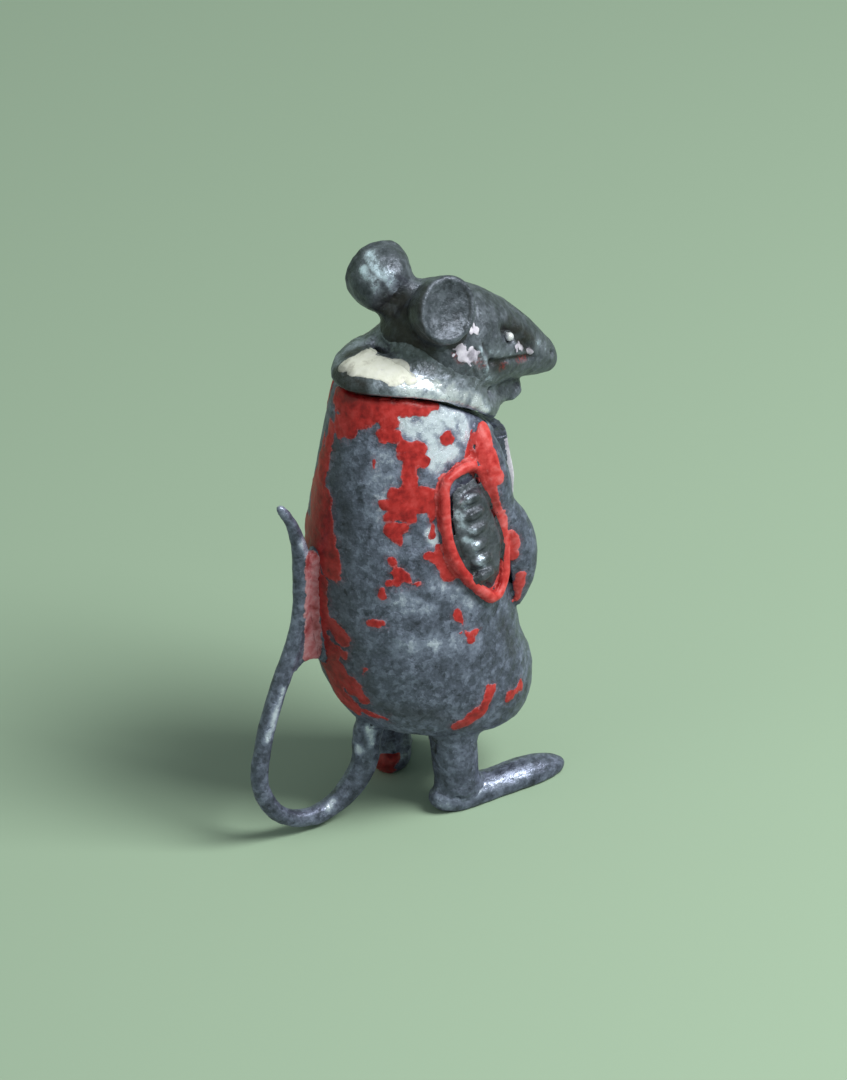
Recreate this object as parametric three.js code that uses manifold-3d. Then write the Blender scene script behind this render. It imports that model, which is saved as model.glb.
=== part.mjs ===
// A standing mouse in a coat, cast in soft white metal and painted.
// The coat is the main casting. Head, collar, ears, eyes, sleeves, paws, shirt front, legs, feet and tail
// are castings of their own, pegged into it or into each other and soldered.
// Millimetres. +X is forward (the snout), +Y the mouse's left, +Z up. The soles stand on z = 0.
import * as THREE from "three";
import { mergeVertices } from "three/addons/utils/BufferGeometryUtils.js";
import Module from "manifold-3d";

const wasm = await Module();
wasm.setup();

// Driving dimensions, in millimetres and degrees

const SOLDER_GAP = 0.3; // film left for solder between two castings
const PEG_GAP = 0.12; // radial clearance of a peg in its hole

const HEM_HEIGHT = 5.6; // front of the hem above the ground
const COAT_HEIGHT = 41.8; // front of the hem to the back of the neck
const COAT_DEPTH = 22; // front to back at the waist
const COAT_WIDTH = 18.8; // across the hips
const NECKLINE_RISE = 2.6; // how far the neckline climbs beside the neck

const COLLAR_BACK_HEIGHT = 5.4; // the standing collar is deep behind the neck
const COLLAR_FRONT_HEIGHT = 2.4; // and thin where it closes on the chest
const COLLAR_BACK_THICKNESS = 2.5;
const COLLAR_FRONT_THICKNESS = 1.6;
const COLLAR_EDGE_THICKNESS = 1.1; // at the upper edge
const COLLAR_OVERHANG = 0.75; // foot of the collar behind the neck, outside the edge of the coat
const COLLAR_LEAN = 34; // it leans in against the neck

const HEAD_LENGTH = 21.4; // back of the skull to the tip of the nose
const HEAD_DEPTH = 12.8; // crown to throat
const HEAD_WIDTH = 11.8; // across the cheeks
const HEAD_RISE = 7; // skull centre above the neckline
const HEAD_REACH = 3.1; // skull centre ahead of the neckline
const HEAD_PITCH = 31; // the snout points down
const HEAD_TURN = 7; // and a little to the left
const NECK_DIAMETER = 9.4;
const NECK_PEG_DIAMETER = 4.4;
const NECK_PEG_DEPTH = 4.5; // how far the neck peg goes into the coat

const EAR_DIAMETER = 6.4;
const EAR_TALL = 7.2;
const EAR_DEPTH = 2.7; // rim to the end of the domed back
const EAR_RIM_DIAMETER = 0.9;
const EAR_DISH_DEPTH = 0.8; // the shallow hollow inside the rim
const EARS_TURN = -13; // both ears are set turned a little to the right
const EAR_SPACING = 11.4; // between the two rims' centres
const LEFT_EAR_BACK = 0.5; // the left ear is set further back than the right
const EAR_ROOT_DIAMETER = 3.8; // the root that the domed back narrows to
const EAR_ROOT_LENGTH = 1.6;
const EAR_PEG_DIAMETER = 1.5;
const EYE_DIAMETER = 0.95;
const EYE_PEG_DIAMETER = 0.6;
const EYE_PEG_DEPTH = 1.2;

const CUFF_LENGTH = 15; // the leaf-shaped opening of a sleeve, point to point
const CUFF_WIDTH = 7.5;
const CUFF_RIM_DIAMETER = 1.15;
const SLEEVE_TOP_DIAMETER = 4.5;
const SLEEVE_DIAMETER = 5.2; // at the forearm
const SLEEVE_PEG_DIAMETER = 2;
const SLEEVE_PEG_DEPTH = 2;
const FINGER_COUNT = 6;
const FINGER_DIAMETER = 1.4;
const PAW_THICKNESS = 1.5;

const SHIRT_LENGTH = 10;
const SHIRT_WIDTH = 6.4;
const SHIRT_THICKNESS = 0.7;

const LEG_SPACING = 11.5; // between the two legs' axes
const LEGS_TO_LEFT = 0.85; // the pair stands a little to the left of the coat's middle
const RIGHT_LEG_FORWARD = 0; // legs' axes, from the middle of the coat
const LEFT_LEG_FORWARD = -1.4;
const LEG_TOP_DIAMETER = 5.2;
const LEG_ANKLE_DIAMETER = 4.4;
const LEG_PEG_DIAMETER = 2.4;
const LEG_PEG_DEPTH = 3;
const FOOT_LENGTH = 15.2;
const FOOT_HEIGHT = 2.9;
const FOOT_WIDTH = 4.3;
const HEEL_LENGTH = 3.2; // ankle to the back of the heel
const ANKLE_PEG_DEPTH = 1.6;
const RIGHT_TOE_OUT = 0;
const LEFT_TOE_OUT = 60;

const TAIL_ROOT_DIAMETER = 3.3;
const TAIL_DIAMETER = 1.85;
const TAIL_TIP_DIAMETER = 1;
const TAIL_LOOP_DEPTH = 8.2; // how far the loop swings out behind the coat
const TAIL_LOOP_HEIGHT = 14.2; // from the bottom of the loop to the foot of the web
const TAIL_TIP_REACH = 3.4; // the tip stands off the back
const TAIL_TIP_LENGTH = 6.6; // of the free tip, above the web
const WEB_LENGTH = 12.6; // along the tail
const TAIL_CLEARANCE = 0.4; // under the loop, above the ground
const WEB_THICKNESS = 1.1; // of the web that joins the tail to the back
const WEB_ARCH = 0.35; // rise of the arch at the foot of the web
const TAIL_PEG_DIAMETER = 1.8;
const TAIL_PEG_DEPTH = 2.6;

// Facets

const AROUND_COAT = 32;
const AROUND_HEAD = 22;
const AROUND_EAR = 18;
const AROUND_LIMB = 14;
const AROUND_TUBE = 9;

// Helpers

const V = (x, y, z) => new THREE.Vector3(x, y, z);
const radians = THREE.MathUtils.degToRad;
const mix = THREE.MathUtils.lerp;
const UP = V(0, 0, 1);
const LEFT = V(0, 1, 0);
const spline = (points) => new THREE.CatmullRomCurve3(points, false, "centripetal");

// Turns a geometry's faces outwards if they point in.
function facingOut(position, index) {
  const corner = (i) => V(...position.slice(3 * i, 3 * i + 3));
  let volume = 0;
  for (let i = 0; i < index.length; i += 3) {
    const [a, b, c] = [index[i], index[i + 1], index[i + 2]].map(corner);
    volume += a.dot(b.cross(c));
  }
  return volume < 0 ? index.slice().reverse() : index;
}

// A skin over rings of points, closed by a fan at each end, or into a loop.
function loft(rings, loop = false) {
  const n = rings[0].length;
  const position = rings.flat().flatMap((p) => p.toArray());
  const index = [];
  const strips = loop ? rings.length : rings.length - 1;
  for (let r = 0; r < strips; r++) {
    const a = r * n;
    const b = ((r + 1) % rings.length) * n;
    for (let i = 0; i < n; i++) {
      const j = (i + 1) % n;
      index.push(a + i, a + j, b + j, a + i, b + j, b + i);
    }
  }
  if (!loop) {
    for (const [ring, start, turn] of [
      [rings[0], 0, 1],
      [rings.at(-1), (rings.length - 1) * n, -1],
    ]) {
      const middle = position.length / 3;
      const centre = ring.reduce((sum, p) => sum.add(p), V(0, 0, 0)).divideScalar(n);
      position.push(...centre.toArray());
      for (let i = 0; i < n; i++) {
        const pair = [start + i, start + ((i + 1) % n)];
        index.push(middle, ...(turn > 0 ? pair.reverse() : pair));
      }
    }
  }
  return new THREE.BufferGeometry()
    .setAttribute("position", new THREE.Float32BufferAttribute(position, 3))
    .setIndex(facingOut(position, index));
}

// A tube along a curve; radiusAt(u) gives its radius at the share u of the length.
function sweep(curve, steps, sides, radiusAt, loop = false) {
  const frames = curve.computeFrenetFrames(steps, loop);
  const rings = [];
  for (let i = 0; i < (loop ? steps : steps + 1); i++) {
    const u = i / steps;
    const centre = curve.getPointAt(u);
    rings.push(
      Array.from({ length: sides }, (_, k) => {
        const angle = (2 * Math.PI * k) / sides;
        return centre
          .clone()
          .addScaledVector(frames.normals[i], radiusAt(u) * Math.cos(angle))
          .addScaledVector(frames.binormals[i], radiusAt(u) * Math.sin(angle));
      }),
    );
  }
  return loft(rings, loop);
}

// A radius that rounds off at one or both ends of a tube.
const rounded = (radius, share, both = true) => (u) => {
  const near = both ? Math.min(u, 1 - u) : 1 - u;
  const inside = Math.min(1, near / share);
  return radius * Math.max(0.12, Math.sqrt(1 - (1 - inside) ** 2));
};

// A closed geometry as a solid that can be cut and joined.
function solid(geometry) {
  const bare = geometry.clone();
  bare.deleteAttribute("normal");
  bare.deleteAttribute("uv");
  const merged = mergeVertices(bare, 1e-4);
  return new wasm.Manifold(
    new wasm.Mesh({
      numProp: 3,
      vertProperties: merged.attributes.position.array,
      triVerts: new Uint32Array(merged.index.array),
    }),
  );
}

const moved = (made, matrix) => made.transform(matrix.elements);
const join = (...made) => made.reduce((a, b) => a.add(b));
const cut = (made, ...tools) => tools.reduce((a, b) => a.subtract(b), made);

// A round peg from one point to another.
function peg(from, to, diameter) {
  const axis = to.clone().sub(from);
  const rod = new THREE.CylinderGeometry(diameter / 2, diameter / 2, axis.length(), AROUND_TUBE);
  rod.applyQuaternion(new THREE.Quaternion().setFromUnitVectors(LEFT, axis.clone().normalize()));
  rod.translate(...from.clone().add(to).divideScalar(2).toArray());
  return solid(rod);
}

// The left-hand copy of a right-hand solid.
const mirrored = (made) => made.mirror([0, 1, 0]);

// Materials

const metal = (color, roughness) =>
  new THREE.MeshStandardMaterial({ color, roughness, metalness: 0.8 });
const paint = (color) => new THREE.MeshStandardMaterial({ color, roughness: 0.55, metalness: 0.1 });
const BARE_METAL = metal(0x565b60, 0.45);
const BRIGHT_METAL = metal(0x9aa3ad, 0.25);
const RED_PAINT = paint(0xb52a22);
const WHITE_PAINT = paint(0xe6e4cc);

// Coat: a loft between the back and front profiles, as shares of its height, depth and width.
// Each station is [back x, back z, front x, front z, half width, rise beside the neck].

const COAT_STATIONS = [
  [-0.18, 0.085, 0.25, 0.01, 0.22, 0],
  [-0.345, 0.11, 0.46, 0.05, 0.42, 0],
  [-0.455, 0.21, 0.515, 0.15, 0.49, 0],
  [-0.51, 0.38, 0.465, 0.275, 0.5, 0],
  [-0.495, 0.565, 0.475, 0.445, 0.48, 0.1],
  [-0.41, 0.76, 0.485, 0.615, 0.43, 0.4],
  [-0.265, 1.0, 0.46, 0.785, 0.32, 1],
];
const coatProfile = (x, z) =>
  spline(
    COAT_STATIONS.map((s) => V(s[x] * COAT_DEPTH, 0, HEM_HEIGHT + s[z] * COAT_HEIGHT)),
  );
const coatBack = coatProfile(0, 1);
const coatFront = coatProfile(2, 3);
const coatBreadth = spline(
  COAT_STATIONS.map((s, i) => V(s[4] * COAT_WIDTH, s[5] * NECKLINE_RISE, i)),
);

// A point on the coat at the share t of its height. Angle 0 is the front and -90 degrees the right side.
function onCoat(t, angle, grow = 0) {
  const back = coatBack.getPoint(t);
  const front = coatFront.getPoint(t);
  const breadth = coatBreadth.getPoint(t);
  const depth = front.clone().sub(back);
  const half = depth.length() / 2;
  return back
    .clone()
    .add(front)
    .divideScalar(2)
    .addScaledVector(depth.normalize(), (half + grow) * Math.cos(angle))
    .addScaledVector(LEFT, (breadth.x + grow) * Math.sin(angle))
    .addScaledVector(UP, breadth.y * Math.sin(angle) ** 2);
}

// The way out of the coat's surface at a point.
function outOfCoat(t, angle) {
  const step = 0.01;
  const along = onCoat(Math.min(1, t + step), angle).sub(onCoat(Math.max(0, t - step), angle));
  const across = onCoat(t, angle + step).sub(onCoat(t, angle - step));
  return across.cross(along).normalize();
}

const COAT_RINGS = 20;
function coatSolid(grow = 0) {
  const rings = [];
  for (let i = 0; i <= COAT_RINGS; i++) {
    const ring = [];
    for (let k = 0; k < AROUND_COAT; k++) {
      const t = i / COAT_RINGS;
      const angle = (2 * Math.PI * k) / AROUND_COAT;
      ring.push(onCoat(t, angle).addScaledVector(outOfCoat(t, angle), grow));
    }
    rings.push(ring);
  }
  const upFrom = (t) => coatFront.getPoint(t).sub(coatBack.getPoint(t)).cross(LEFT).normalize();
  rings[0].forEach((p) => p.addScaledVector(upFrom(0), -grow));
  rings.at(-1).forEach((p) => p.addScaledVector(upFrom(1), grow));
  return solid(loft(rings));
}
const coatCutter = coatSolid(SOLDER_GAP);

// Collar: a standing band that follows the neckline, deep behind, low at the chest, thinner at its upper edge.

const neckBack = coatBack.getPoint(1);
const neckFront = coatFront.getPoint(1);
const neckline = neckBack.clone().add(neckFront).divideScalar(2);
const neckUp = LEFT.clone().cross(neckFront.clone().sub(neckBack)).normalize().negate();
const COLLAR_STEPS = 28;
function collarSolid() {
  const rings = [];
  for (let i = 0; i < COLLAR_STEPS; i++) {
    const angle = (2 * Math.PI * i) / COLLAR_STEPS;
    const behind = (1 - Math.cos(angle)) / 2;
    const high = mix(COLLAR_FRONT_HEIGHT, COLLAR_BACK_HEIGHT, behind ** 1.3) / 2;
    const thick = mix(COLLAR_FRONT_THICKNESS, COLLAR_BACK_THICKNESS, behind) / 2;
    const thickAt = (up) => mix(thick, COLLAR_EDGE_THICKNESS / 2, (1 + up) / 2);
    const edge = onCoat(1, angle);
    const level = edge.clone().sub(onCoat(1, angle, -1)).normalize();
    const lean = radians(COLLAR_LEAN);
    const rise = neckUp.clone().multiplyScalar(Math.cos(lean)).addScaledVector(level, -Math.sin(lean));
    const out = level.clone().multiplyScalar(Math.cos(lean)).addScaledVector(neckUp, Math.sin(lean));
    const centre = edge
      .clone()
      .addScaledVector(level, COLLAR_OVERHANG * behind)
      .addScaledVector(rise, high + SOLDER_GAP);
    rings.push(
      Array.from({ length: AROUND_TUBE }, (_, k) => {
        const turn = (2 * Math.PI * k) / AROUND_TUBE;
        return centre
          .clone()
          .addScaledVector(out, thickAt(Math.sin(turn)) * Math.cos(turn))
          .addScaledVector(rise, high * Math.sin(turn));
      }),
    );
  }
  return solid(loft(rings, true));
}

// Head: a loft along the snout in its own frame, with x along the snout and z up through the crown.
// Each station is [along, crown, underside, half width] as shares of the head's length, depth and width.

const HEAD_STATIONS = [
  [-0.252, 0.02, -0.06, 0.05],
  [-0.235, 0.12, -0.16, 0.16],
  [-0.19, 0.29, -0.35, 0.33],
  [-0.08, 0.425, -0.5, 0.475],
  [0.073, 0.455, -0.54, 0.5],
  [0.241, 0.42, -0.45, 0.44],
  [0.408, 0.345, -0.29, 0.345],
  [0.555, 0.245, -0.2, 0.265],
  [0.67, 0.145, -0.15, 0.19],
  [0.73, 0.06, -0.105, 0.115],
  [0.748, -0.01, -0.05, 0.04],
];
const JAW_STATIONS = [
  [0.126, -0.22, -0.5, 0.28],
  [0.314, -0.22, -0.5, 0.27],
  [0.481, -0.2, -0.44, 0.19],
  [0.576, -0.2, -0.385, 0.12],
  [0.602, -0.25, -0.34, 0.04],
];
const SKULL_RINGS = 18;
const JAW_RINGS = 6;
function headLoft(stations, rings, grow) {
  const crown = spline(stations.map((s) => V(s[0] * HEAD_LENGTH, 0, s[1] * HEAD_DEPTH)));
  const under = spline(stations.map((s) => V(s[0] * HEAD_LENGTH, 0, s[2] * HEAD_DEPTH)));
  const half = spline(stations.map((s, i) => V(s[3] * HEAD_WIDTH, i, 0)));
  const made = [];
  for (let i = 0; i <= rings; i++) {
    const t = i / rings;
    const top = crown.getPoint(t);
    const rise = top.clone().sub(under.getPoint(t));
    const middle = top.addScaledVector(rise, -0.5);
    const high = rise.length() / 2 + grow;
    rise.normalize();
    const wide = half.getPoint(t).x + grow;
    const end = i === 0 ? -grow : i === rings ? grow : 0;
    made.push(
      Array.from({ length: AROUND_HEAD }, (_, k) => {
        const angle = (2 * Math.PI * k) / AROUND_HEAD;
        return middle
          .clone()
          .addScaledVector(rise, high * Math.cos(angle))
          .addScaledVector(LEFT, wide * Math.sin(angle))
          .add(V(end, 0, 0));
      }),
    );
  }
  return solid(loft(made));
}

const headGroup = new THREE.Group();
headGroup.position.copy(neckline).add(V(HEAD_REACH, 0, HEAD_RISE));
headGroup.rotation.set(0, radians(HEAD_PITCH), radians(HEAD_TURN), "ZYX");
headGroup.updateMatrixWorld();
const skullSolid = (grow = 0) =>
  moved(
    join(headLoft(HEAD_STATIONS, SKULL_RINGS, grow), headLoft(JAW_STATIONS, JAW_RINGS, grow)),
    headGroup.matrixWorld,
  );
const neckFoot = neckline.clone().addScaledVector(neckUp, SOLDER_GAP);
const neckCurve = spline([
  neckFoot.clone().addScaledVector(neckUp, -NECK_PEG_DEPTH),
  neckFoot,
  headGroup.position.clone(),
]);
const neckSolid = (grow = 0) =>
  solid(sweep(neckCurve, 4, AROUND_HEAD, () => NECK_DIAMETER / 2 + grow));
const neckPegEnd = neckFoot.clone().addScaledVector(neckUp, -NECK_PEG_DEPTH);
const neckPeg = (grow = 0) =>
  peg(
    neckPegEnd.clone().addScaledVector(neckUp, -grow),
    headGroup.position,
    NECK_PEG_DIAMETER + 2 * grow,
  );
const headCutter = join(skullSolid(SOLDER_GAP), neckSolid(SOLDER_GAP));

// Ears: domed dishes, turned on a lathe profile, pegged into the skull above the cheeks.

const EAR_ALONG = -0.215; // share of the head's length, from the skull's centre
const EAR_UP = 0.3; // share of the head's depth
const EAR_FACING = V(-0.05, -0.96, 0.26).normalize(); // the right ear's opening
const EAR_RIM_TURN = radians(115); // the rim rolls in over the hollow
function earGroup(side) {
  const group = new THREE.Group();
  const along = EAR_ALONG * HEAD_LENGTH - (side > 0 ? LEFT_EAR_BACK : 0);
  group.position.set(along, side * EAR_SPACING * 0.5, EAR_UP * HEAD_DEPTH);
  const facing = EAR_FACING.clone().multiply(V(1, -side, 1)).applyAxisAngle(UP, radians(EARS_TURN));
  const across = UP.clone().cross(facing).normalize();
  group.quaternion.setFromRotationMatrix(
    new THREE.Matrix4().makeBasis(across, facing, across.clone().cross(facing)),
  );
  headGroup.add(group);
  group.updateWorldMatrix(true, false);
  return group;
}
function earDish() {
  const radius = EAR_DIAMETER / 2;
  const rim = EAR_RIM_DIAMETER / 2;
  const root = EAR_ROOT_DIAMETER / 2;
  const foot = -EAR_DEPTH - EAR_ROOT_LENGTH;
  const profile = new THREE.Path();
  profile.moveTo(0, foot);
  profile.lineTo(root, foot);
  profile.bezierCurveTo(root * 1.4, foot + EAR_ROOT_LENGTH * 0.4, radius, -EAR_DEPTH * 0.9, radius, 0);
  profile.absarc(radius - rim, 0, rim, 0, EAR_RIM_TURN, false);
  profile.quadraticCurveTo(radius * 0.65, rim - EAR_DISH_DEPTH, 0, rim - EAR_DISH_DEPTH);
  const points = profile.getPoints(5);
  points[0].x = 0;
  points.at(-1).x = 0;
  const dish = new THREE.LatheGeometry(points, AROUND_EAR);
  dish.scale(1, 1, EAR_TALL / EAR_DIAMETER);
  return dish;
}
const earSolid = (group) =>
  join(cut(moved(solid(earDish()), group.matrixWorld), headCutter), earPeg(group));
// An ear's peg stops short of the middle of the skull, so that the two don't meet.
function earPeg(group, grow = 0) {
  const at = (depth) => V(0, -depth, 0).applyMatrix4(group.matrixWorld);
  const reach = (EAR_SPACING / 2 - EAR_PEG_DIAMETER) / Math.abs(EAR_FACING.y);
  return peg(at(EAR_DEPTH), at(reach + grow), EAR_PEG_DIAMETER + 2 * grow);
}

// Eyes: pin heads pressed into the skull.

const EYE_ALONG = 0.278;
const EYE_UP = 0.15;
const EYE_SIDE = 0.376; // share of the head's width, from the middle
function eyeCentre(side) {
  const place = V(EYE_ALONG * HEAD_LENGTH, side * EYE_SIDE * HEAD_WIDTH, EYE_UP * HEAD_DEPTH);
  return place.applyMatrix4(headGroup.matrixWorld);
}
function eyeSolid(side, grow = 0) {
  const centre = eyeCentre(side);
  const inward = V(0, -side, 0).transformDirection(headGroup.matrixWorld);
  const ball = new THREE.SphereGeometry(EYE_DIAMETER / 2 + grow, AROUND_TUBE, 8);
  ball.translate(...centre.toArray());
  const tip = centre.clone().addScaledVector(inward, EYE_DIAMETER / 2 + EYE_PEG_DEPTH + grow);
  return join(solid(ball), peg(centre, tip, EYE_PEG_DIAMETER + 2 * grow));
}

// Sleeves: a forearm laid down the front of the coat, and the leaf-shaped rim of the cuff on the flank.

const CUFF_HEIGHT = 0.763; // middle of the cuff, as a share of the coat's height
const CUFF_ANGLE = radians(-72);
// The leaf's outline, from the apex under the shoulder down the front to the point, then up the rear to a
// blunt corner: [share of the half width forward, share of the half length up].
const CUFF_OUTLINE = [
  [0.3, 1],
  [0.5, 0.84],
  [0.69, 0.54],
  [0.87, 0.19],
  [0.99, -0.17],
  [0.93, -0.53],
  [0.7, -0.84],
  [0.24, -0.97],
  [-0.22, -0.75],
  [-0.66, -0.43],
  [-0.94, -0.06],
  [-0.99, 0.29],
  [-0.9, 0.64],
  [-0.72, 0.95],
  [-0.25, 1.02],
];
const cuffPlace = () => {
  const centre = onCoat(CUFF_HEIGHT, CUFF_ANGLE);
  const out = outOfCoat(CUFF_HEIGHT, CUFF_ANGLE);
  const forward = UP.clone().cross(out).normalize();
  return { centre, forward, upward: out.clone().cross(forward) };
};
// The nearest point of the coat's skin to a point, found by walking over its heights and angles.
function restOnCoat(point, lift, start) {
  let best = { ...start, far: Infinity };
  for (let reach = 0.25; reach > 1e-3; reach /= 2) {
    const { t, angle } = best;
    for (let i = -4; i <= 4; i++) {
      for (let k = -4; k <= 4; k++) {
        const tryT = Math.min(0.97, Math.max(0.03, t + (reach * i) / 4));
        const tryAngle = angle + reach * k;
        const far = onCoat(tryT, tryAngle).distanceTo(point);
        if (far < best.far) best = { t: tryT, angle: tryAngle, far };
      }
    }
  }
  return onCoat(best.t, best.angle).addScaledVector(outOfCoat(best.t, best.angle), lift);
}
// A point of the cuff's leaf, in the shares of its outline.
function onLeaf(ahead, up, lift) {
  const { centre, forward, upward } = cuffPlace();
  const flat = centre
    .clone()
    .addScaledVector(forward, (ahead * CUFF_WIDTH) / 2)
    .addScaledVector(upward, (up * CUFF_LENGTH) / 2);
  return restOnCoat(flat, lift, { t: CUFF_HEIGHT, angle: CUFF_ANGLE });
}
const RIM_STEPS = 30;
const cuffRim = (grow) => {
  const points = CUFF_OUTLINE.map(([ahead, up]) => onLeaf(ahead, up, CUFF_RIM_DIAMETER * 0.3));
  const curve = new THREE.CatmullRomCurve3(points, true, "centripetal");
  return solid(sweep(curve, RIM_STEPS, 8, () => CUFF_RIM_DIAMETER / 2 + grow, true));
};
// Down the chest from the lapel to the belly: [share of the coat's height, angle, diameter].
const FOREARM = [
  [0.985, -57, SLEEVE_TOP_DIAMETER * 0.5],
  [0.95, -58, SLEEVE_TOP_DIAMETER * 0.92],
  [0.89, -56, SLEEVE_TOP_DIAMETER],
  [0.82, -47, SLEEVE_TOP_DIAMETER * 0.8],
  [0.75, -35, SLEEVE_DIAMETER * 0.9],
  [0.69, -31, SLEEVE_DIAMETER],
  [0.62, -30, SLEEVE_DIAMETER * 0.86],
  [0.56, -32, SLEEVE_DIAMETER * 0.4],
];
const SLEEVE_SINK = 0.3; // share of the forearm's diameter that stays inside the coat's skin
const forearm = (grow) => {
  const skin = FOREARM.map(([t, angle, diameter]) => {
    const turn = radians(angle);
    const lift = diameter * (0.5 - SLEEVE_SINK) - SLEEVE_DIAMETER * 0.2;
    return onCoat(t, turn).addScaledVector(outOfCoat(t, turn), lift);
  });
  const girth = spline(FOREARM.map((s, i) => V(s[2], i, 0)));
  const curve = spline(skin);
  return solid(sweep(curve, 16, AROUND_LIMB, (u) => girth.getPoint(u).x / 2 + grow));
};
const sleevePegAt = (depth) =>
  onCoat(0.69, radians(-34)).addScaledVector(outOfCoat(0.69, radians(-34)), depth);
const sleevePeg = (grow = 0) =>
  peg(
    sleevePegAt(SLEEVE_DIAMETER * 0.3),
    sleevePegAt(-SLEEVE_PEG_DEPTH - grow),
    SLEEVE_PEG_DIAMETER + 2 * grow,
  );
const sleeveShape = (grow = 0) => join(cuffRim(grow), forearm(grow));
const rightSleeve = join(cut(sleeveShape(), coatCutter), sleevePeg());

// Paws: a row of knuckles on a domed leaf-shaped palm, soldered in the cuff.

// Rings of the palm: [share of the leaf, share of the paw's thickness above the coat].
const PALM_RINGS = [
  [0.9, -0.5],
  [0.9, 0.1],
  [0.6, 0.6],
  [0.05, 0.75],
];
const KNUCKLES = [-0.5, -0.15, 0.25]; // a finger's rear end, middle and front end, forward on the leaf
const LOWEST_FINGER = -0.5; // up the leaf
const HIGHEST_FINGER = 0.62;
function pawSolid() {
  const rings = PALM_RINGS.map(([share, lift]) =>
    CUFF_OUTLINE.map(([ahead, up]) => onLeaf(ahead * share, up * share, lift * PAW_THICKNESS)),
  );
  const fingers = [];
  for (let i = 0; i < FINGER_COUNT; i++) {
    const up = mix(LOWEST_FINGER, HIGHEST_FINGER, i / (FINGER_COUNT - 1));
    const row = KNUCKLES.map((ahead) => onLeaf(ahead, up, PAW_THICKNESS * 0.55));
    fingers.push(solid(sweep(spline(row), 4, 6, rounded(FINGER_DIAMETER / 2, 0.35))));
  }
  return cut(join(solid(loft(rings)), ...fingers), coatCutter, sleeveShape(SOLDER_GAP));
}
const rightPaw = pawSolid();

// Shirt front: a thin wedge let into the chest between the lapels, under the collar.

const SHIRT_TOP = 0.985; // share of the coat's height
function shirtSolid() {
  const top = onCoat(SHIRT_TOP, 0);
  const outline = new THREE.Shape();
  outline.moveTo(-SHIRT_WIDTH / 2, 0);
  outline.lineTo(SHIRT_WIDTH / 2, 0);
  outline.quadraticCurveTo(SHIRT_WIDTH * 0.34, -SHIRT_LENGTH * 0.6, 0, -SHIRT_LENGTH);
  outline.quadraticCurveTo(-SHIRT_WIDTH * 0.34, -SHIRT_LENGTH * 0.6, -SHIRT_WIDTH / 2, 0);
  const depth = COAT_DEPTH / 4;
  const prism = new THREE.ExtrudeGeometry(outline, { depth, bevelEnabled: false, curveSegments: 6 });
  prism.rotateX(Math.PI / 2).rotateZ(Math.PI / 2);
  prism.translate(top.x - depth / 2, 0, top.z);
  return solid(prism);
}
const shirtFront = cut(
  shirtSolid().intersect(coatSolid(SOLDER_GAP + SHIRT_THICKNESS)),
  coatCutter,
  sleeveShape(SOLDER_GAP),
  mirrored(sleeveShape(SOLDER_GAP)),
);

// Legs and feet: a tapered shaft pegged into the coat, and a long flat-soled foot pegged to its ankle.

function legGroup(side, forward, toeOut) {
  const group = new THREE.Group();
  group.position.set(forward, LEGS_TO_LEFT + (side * LEG_SPACING) / 2, 0);
  group.rotation.z = radians(side * toeOut);
  group.updateMatrixWorld();
  return group;
}
const LEG_TOP = HEM_HEIGHT + COAT_HEIGHT * 0.16;
const shaftCurve = () => new THREE.LineCurve3(V(0, 0, FOOT_HEIGHT / 2), V(0, 0, LEG_TOP));
const shaftSolid = (group) =>
  moved(
    solid(
      sweep(shaftCurve(), 6, AROUND_LIMB, (u) => mix(LEG_ANKLE_DIAMETER, LEG_TOP_DIAMETER, u) / 2),
    ),
    group.matrixWorld,
  );
// Each station is [share of the foot's length from the heel, underside, top, half width].
const FOOT_STATIONS = [
  [0, 0.42, 0.58, 0.08],
  [0.025, 0.2, 0.8, 0.25],
  [0.085, -0.05, 0.96, 0.39],
  [0.17, -0.24, 1.0, 0.47],
  [0.27, -0.3, 1.0, 0.5],
  [0.45, -0.3, 0.84, 0.47],
  [0.66, -0.3, 0.86, 0.48],
  [0.84, -0.3, 0.76, 0.42],
  [0.95, -0.15, 0.56, 0.28],
  [1, 0.12, 0.34, 0.1],
];
function footShape(grow = 0) {
  const rows = (i) =>
    spline(
      FOOT_STATIONS.map((s) => V(s[0] * FOOT_LENGTH - HEEL_LENGTH, s[3] * FOOT_WIDTH, s[i] * FOOT_HEIGHT)),
    );
  const low = rows(1);
  const high = rows(2);
  const rings = [];
  const count = 16;
  for (let i = 0; i <= count; i++) {
    const under = low.getPoint(i / count);
    const over = high.getPoint(i / count);
    const end = i === 0 ? -grow : i === count ? grow : 0;
    rings.push(
      Array.from({ length: AROUND_LIMB }, (_, k) => {
        const angle = (2 * Math.PI * k) / AROUND_LIMB;
        const rise = (over.z - under.z) / 2 + grow;
        return V(
          over.x + end,
          (over.y + grow) * Math.sin(angle),
          (over.z + under.z) / 2 + rise * Math.cos(angle),
        );
      }),
    );
  }
  return solid(loft(rings));
}
const aboveGround = new THREE.BoxGeometry(4 * FOOT_LENGTH, 4 * FOOT_LENGTH, 2 * FOOT_LENGTH);
aboveGround.translate(0, 0, FOOT_LENGTH);
const anklePeg = (group, grow = 0) =>
  moved(
    peg(
      V(0, 0, FOOT_HEIGHT - ANKLE_PEG_DEPTH - grow),
      V(0, 0, FOOT_HEIGHT * 1.6),
      LEG_PEG_DIAMETER + 2 * grow,
    ),
    group.matrixWorld,
  );
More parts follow.
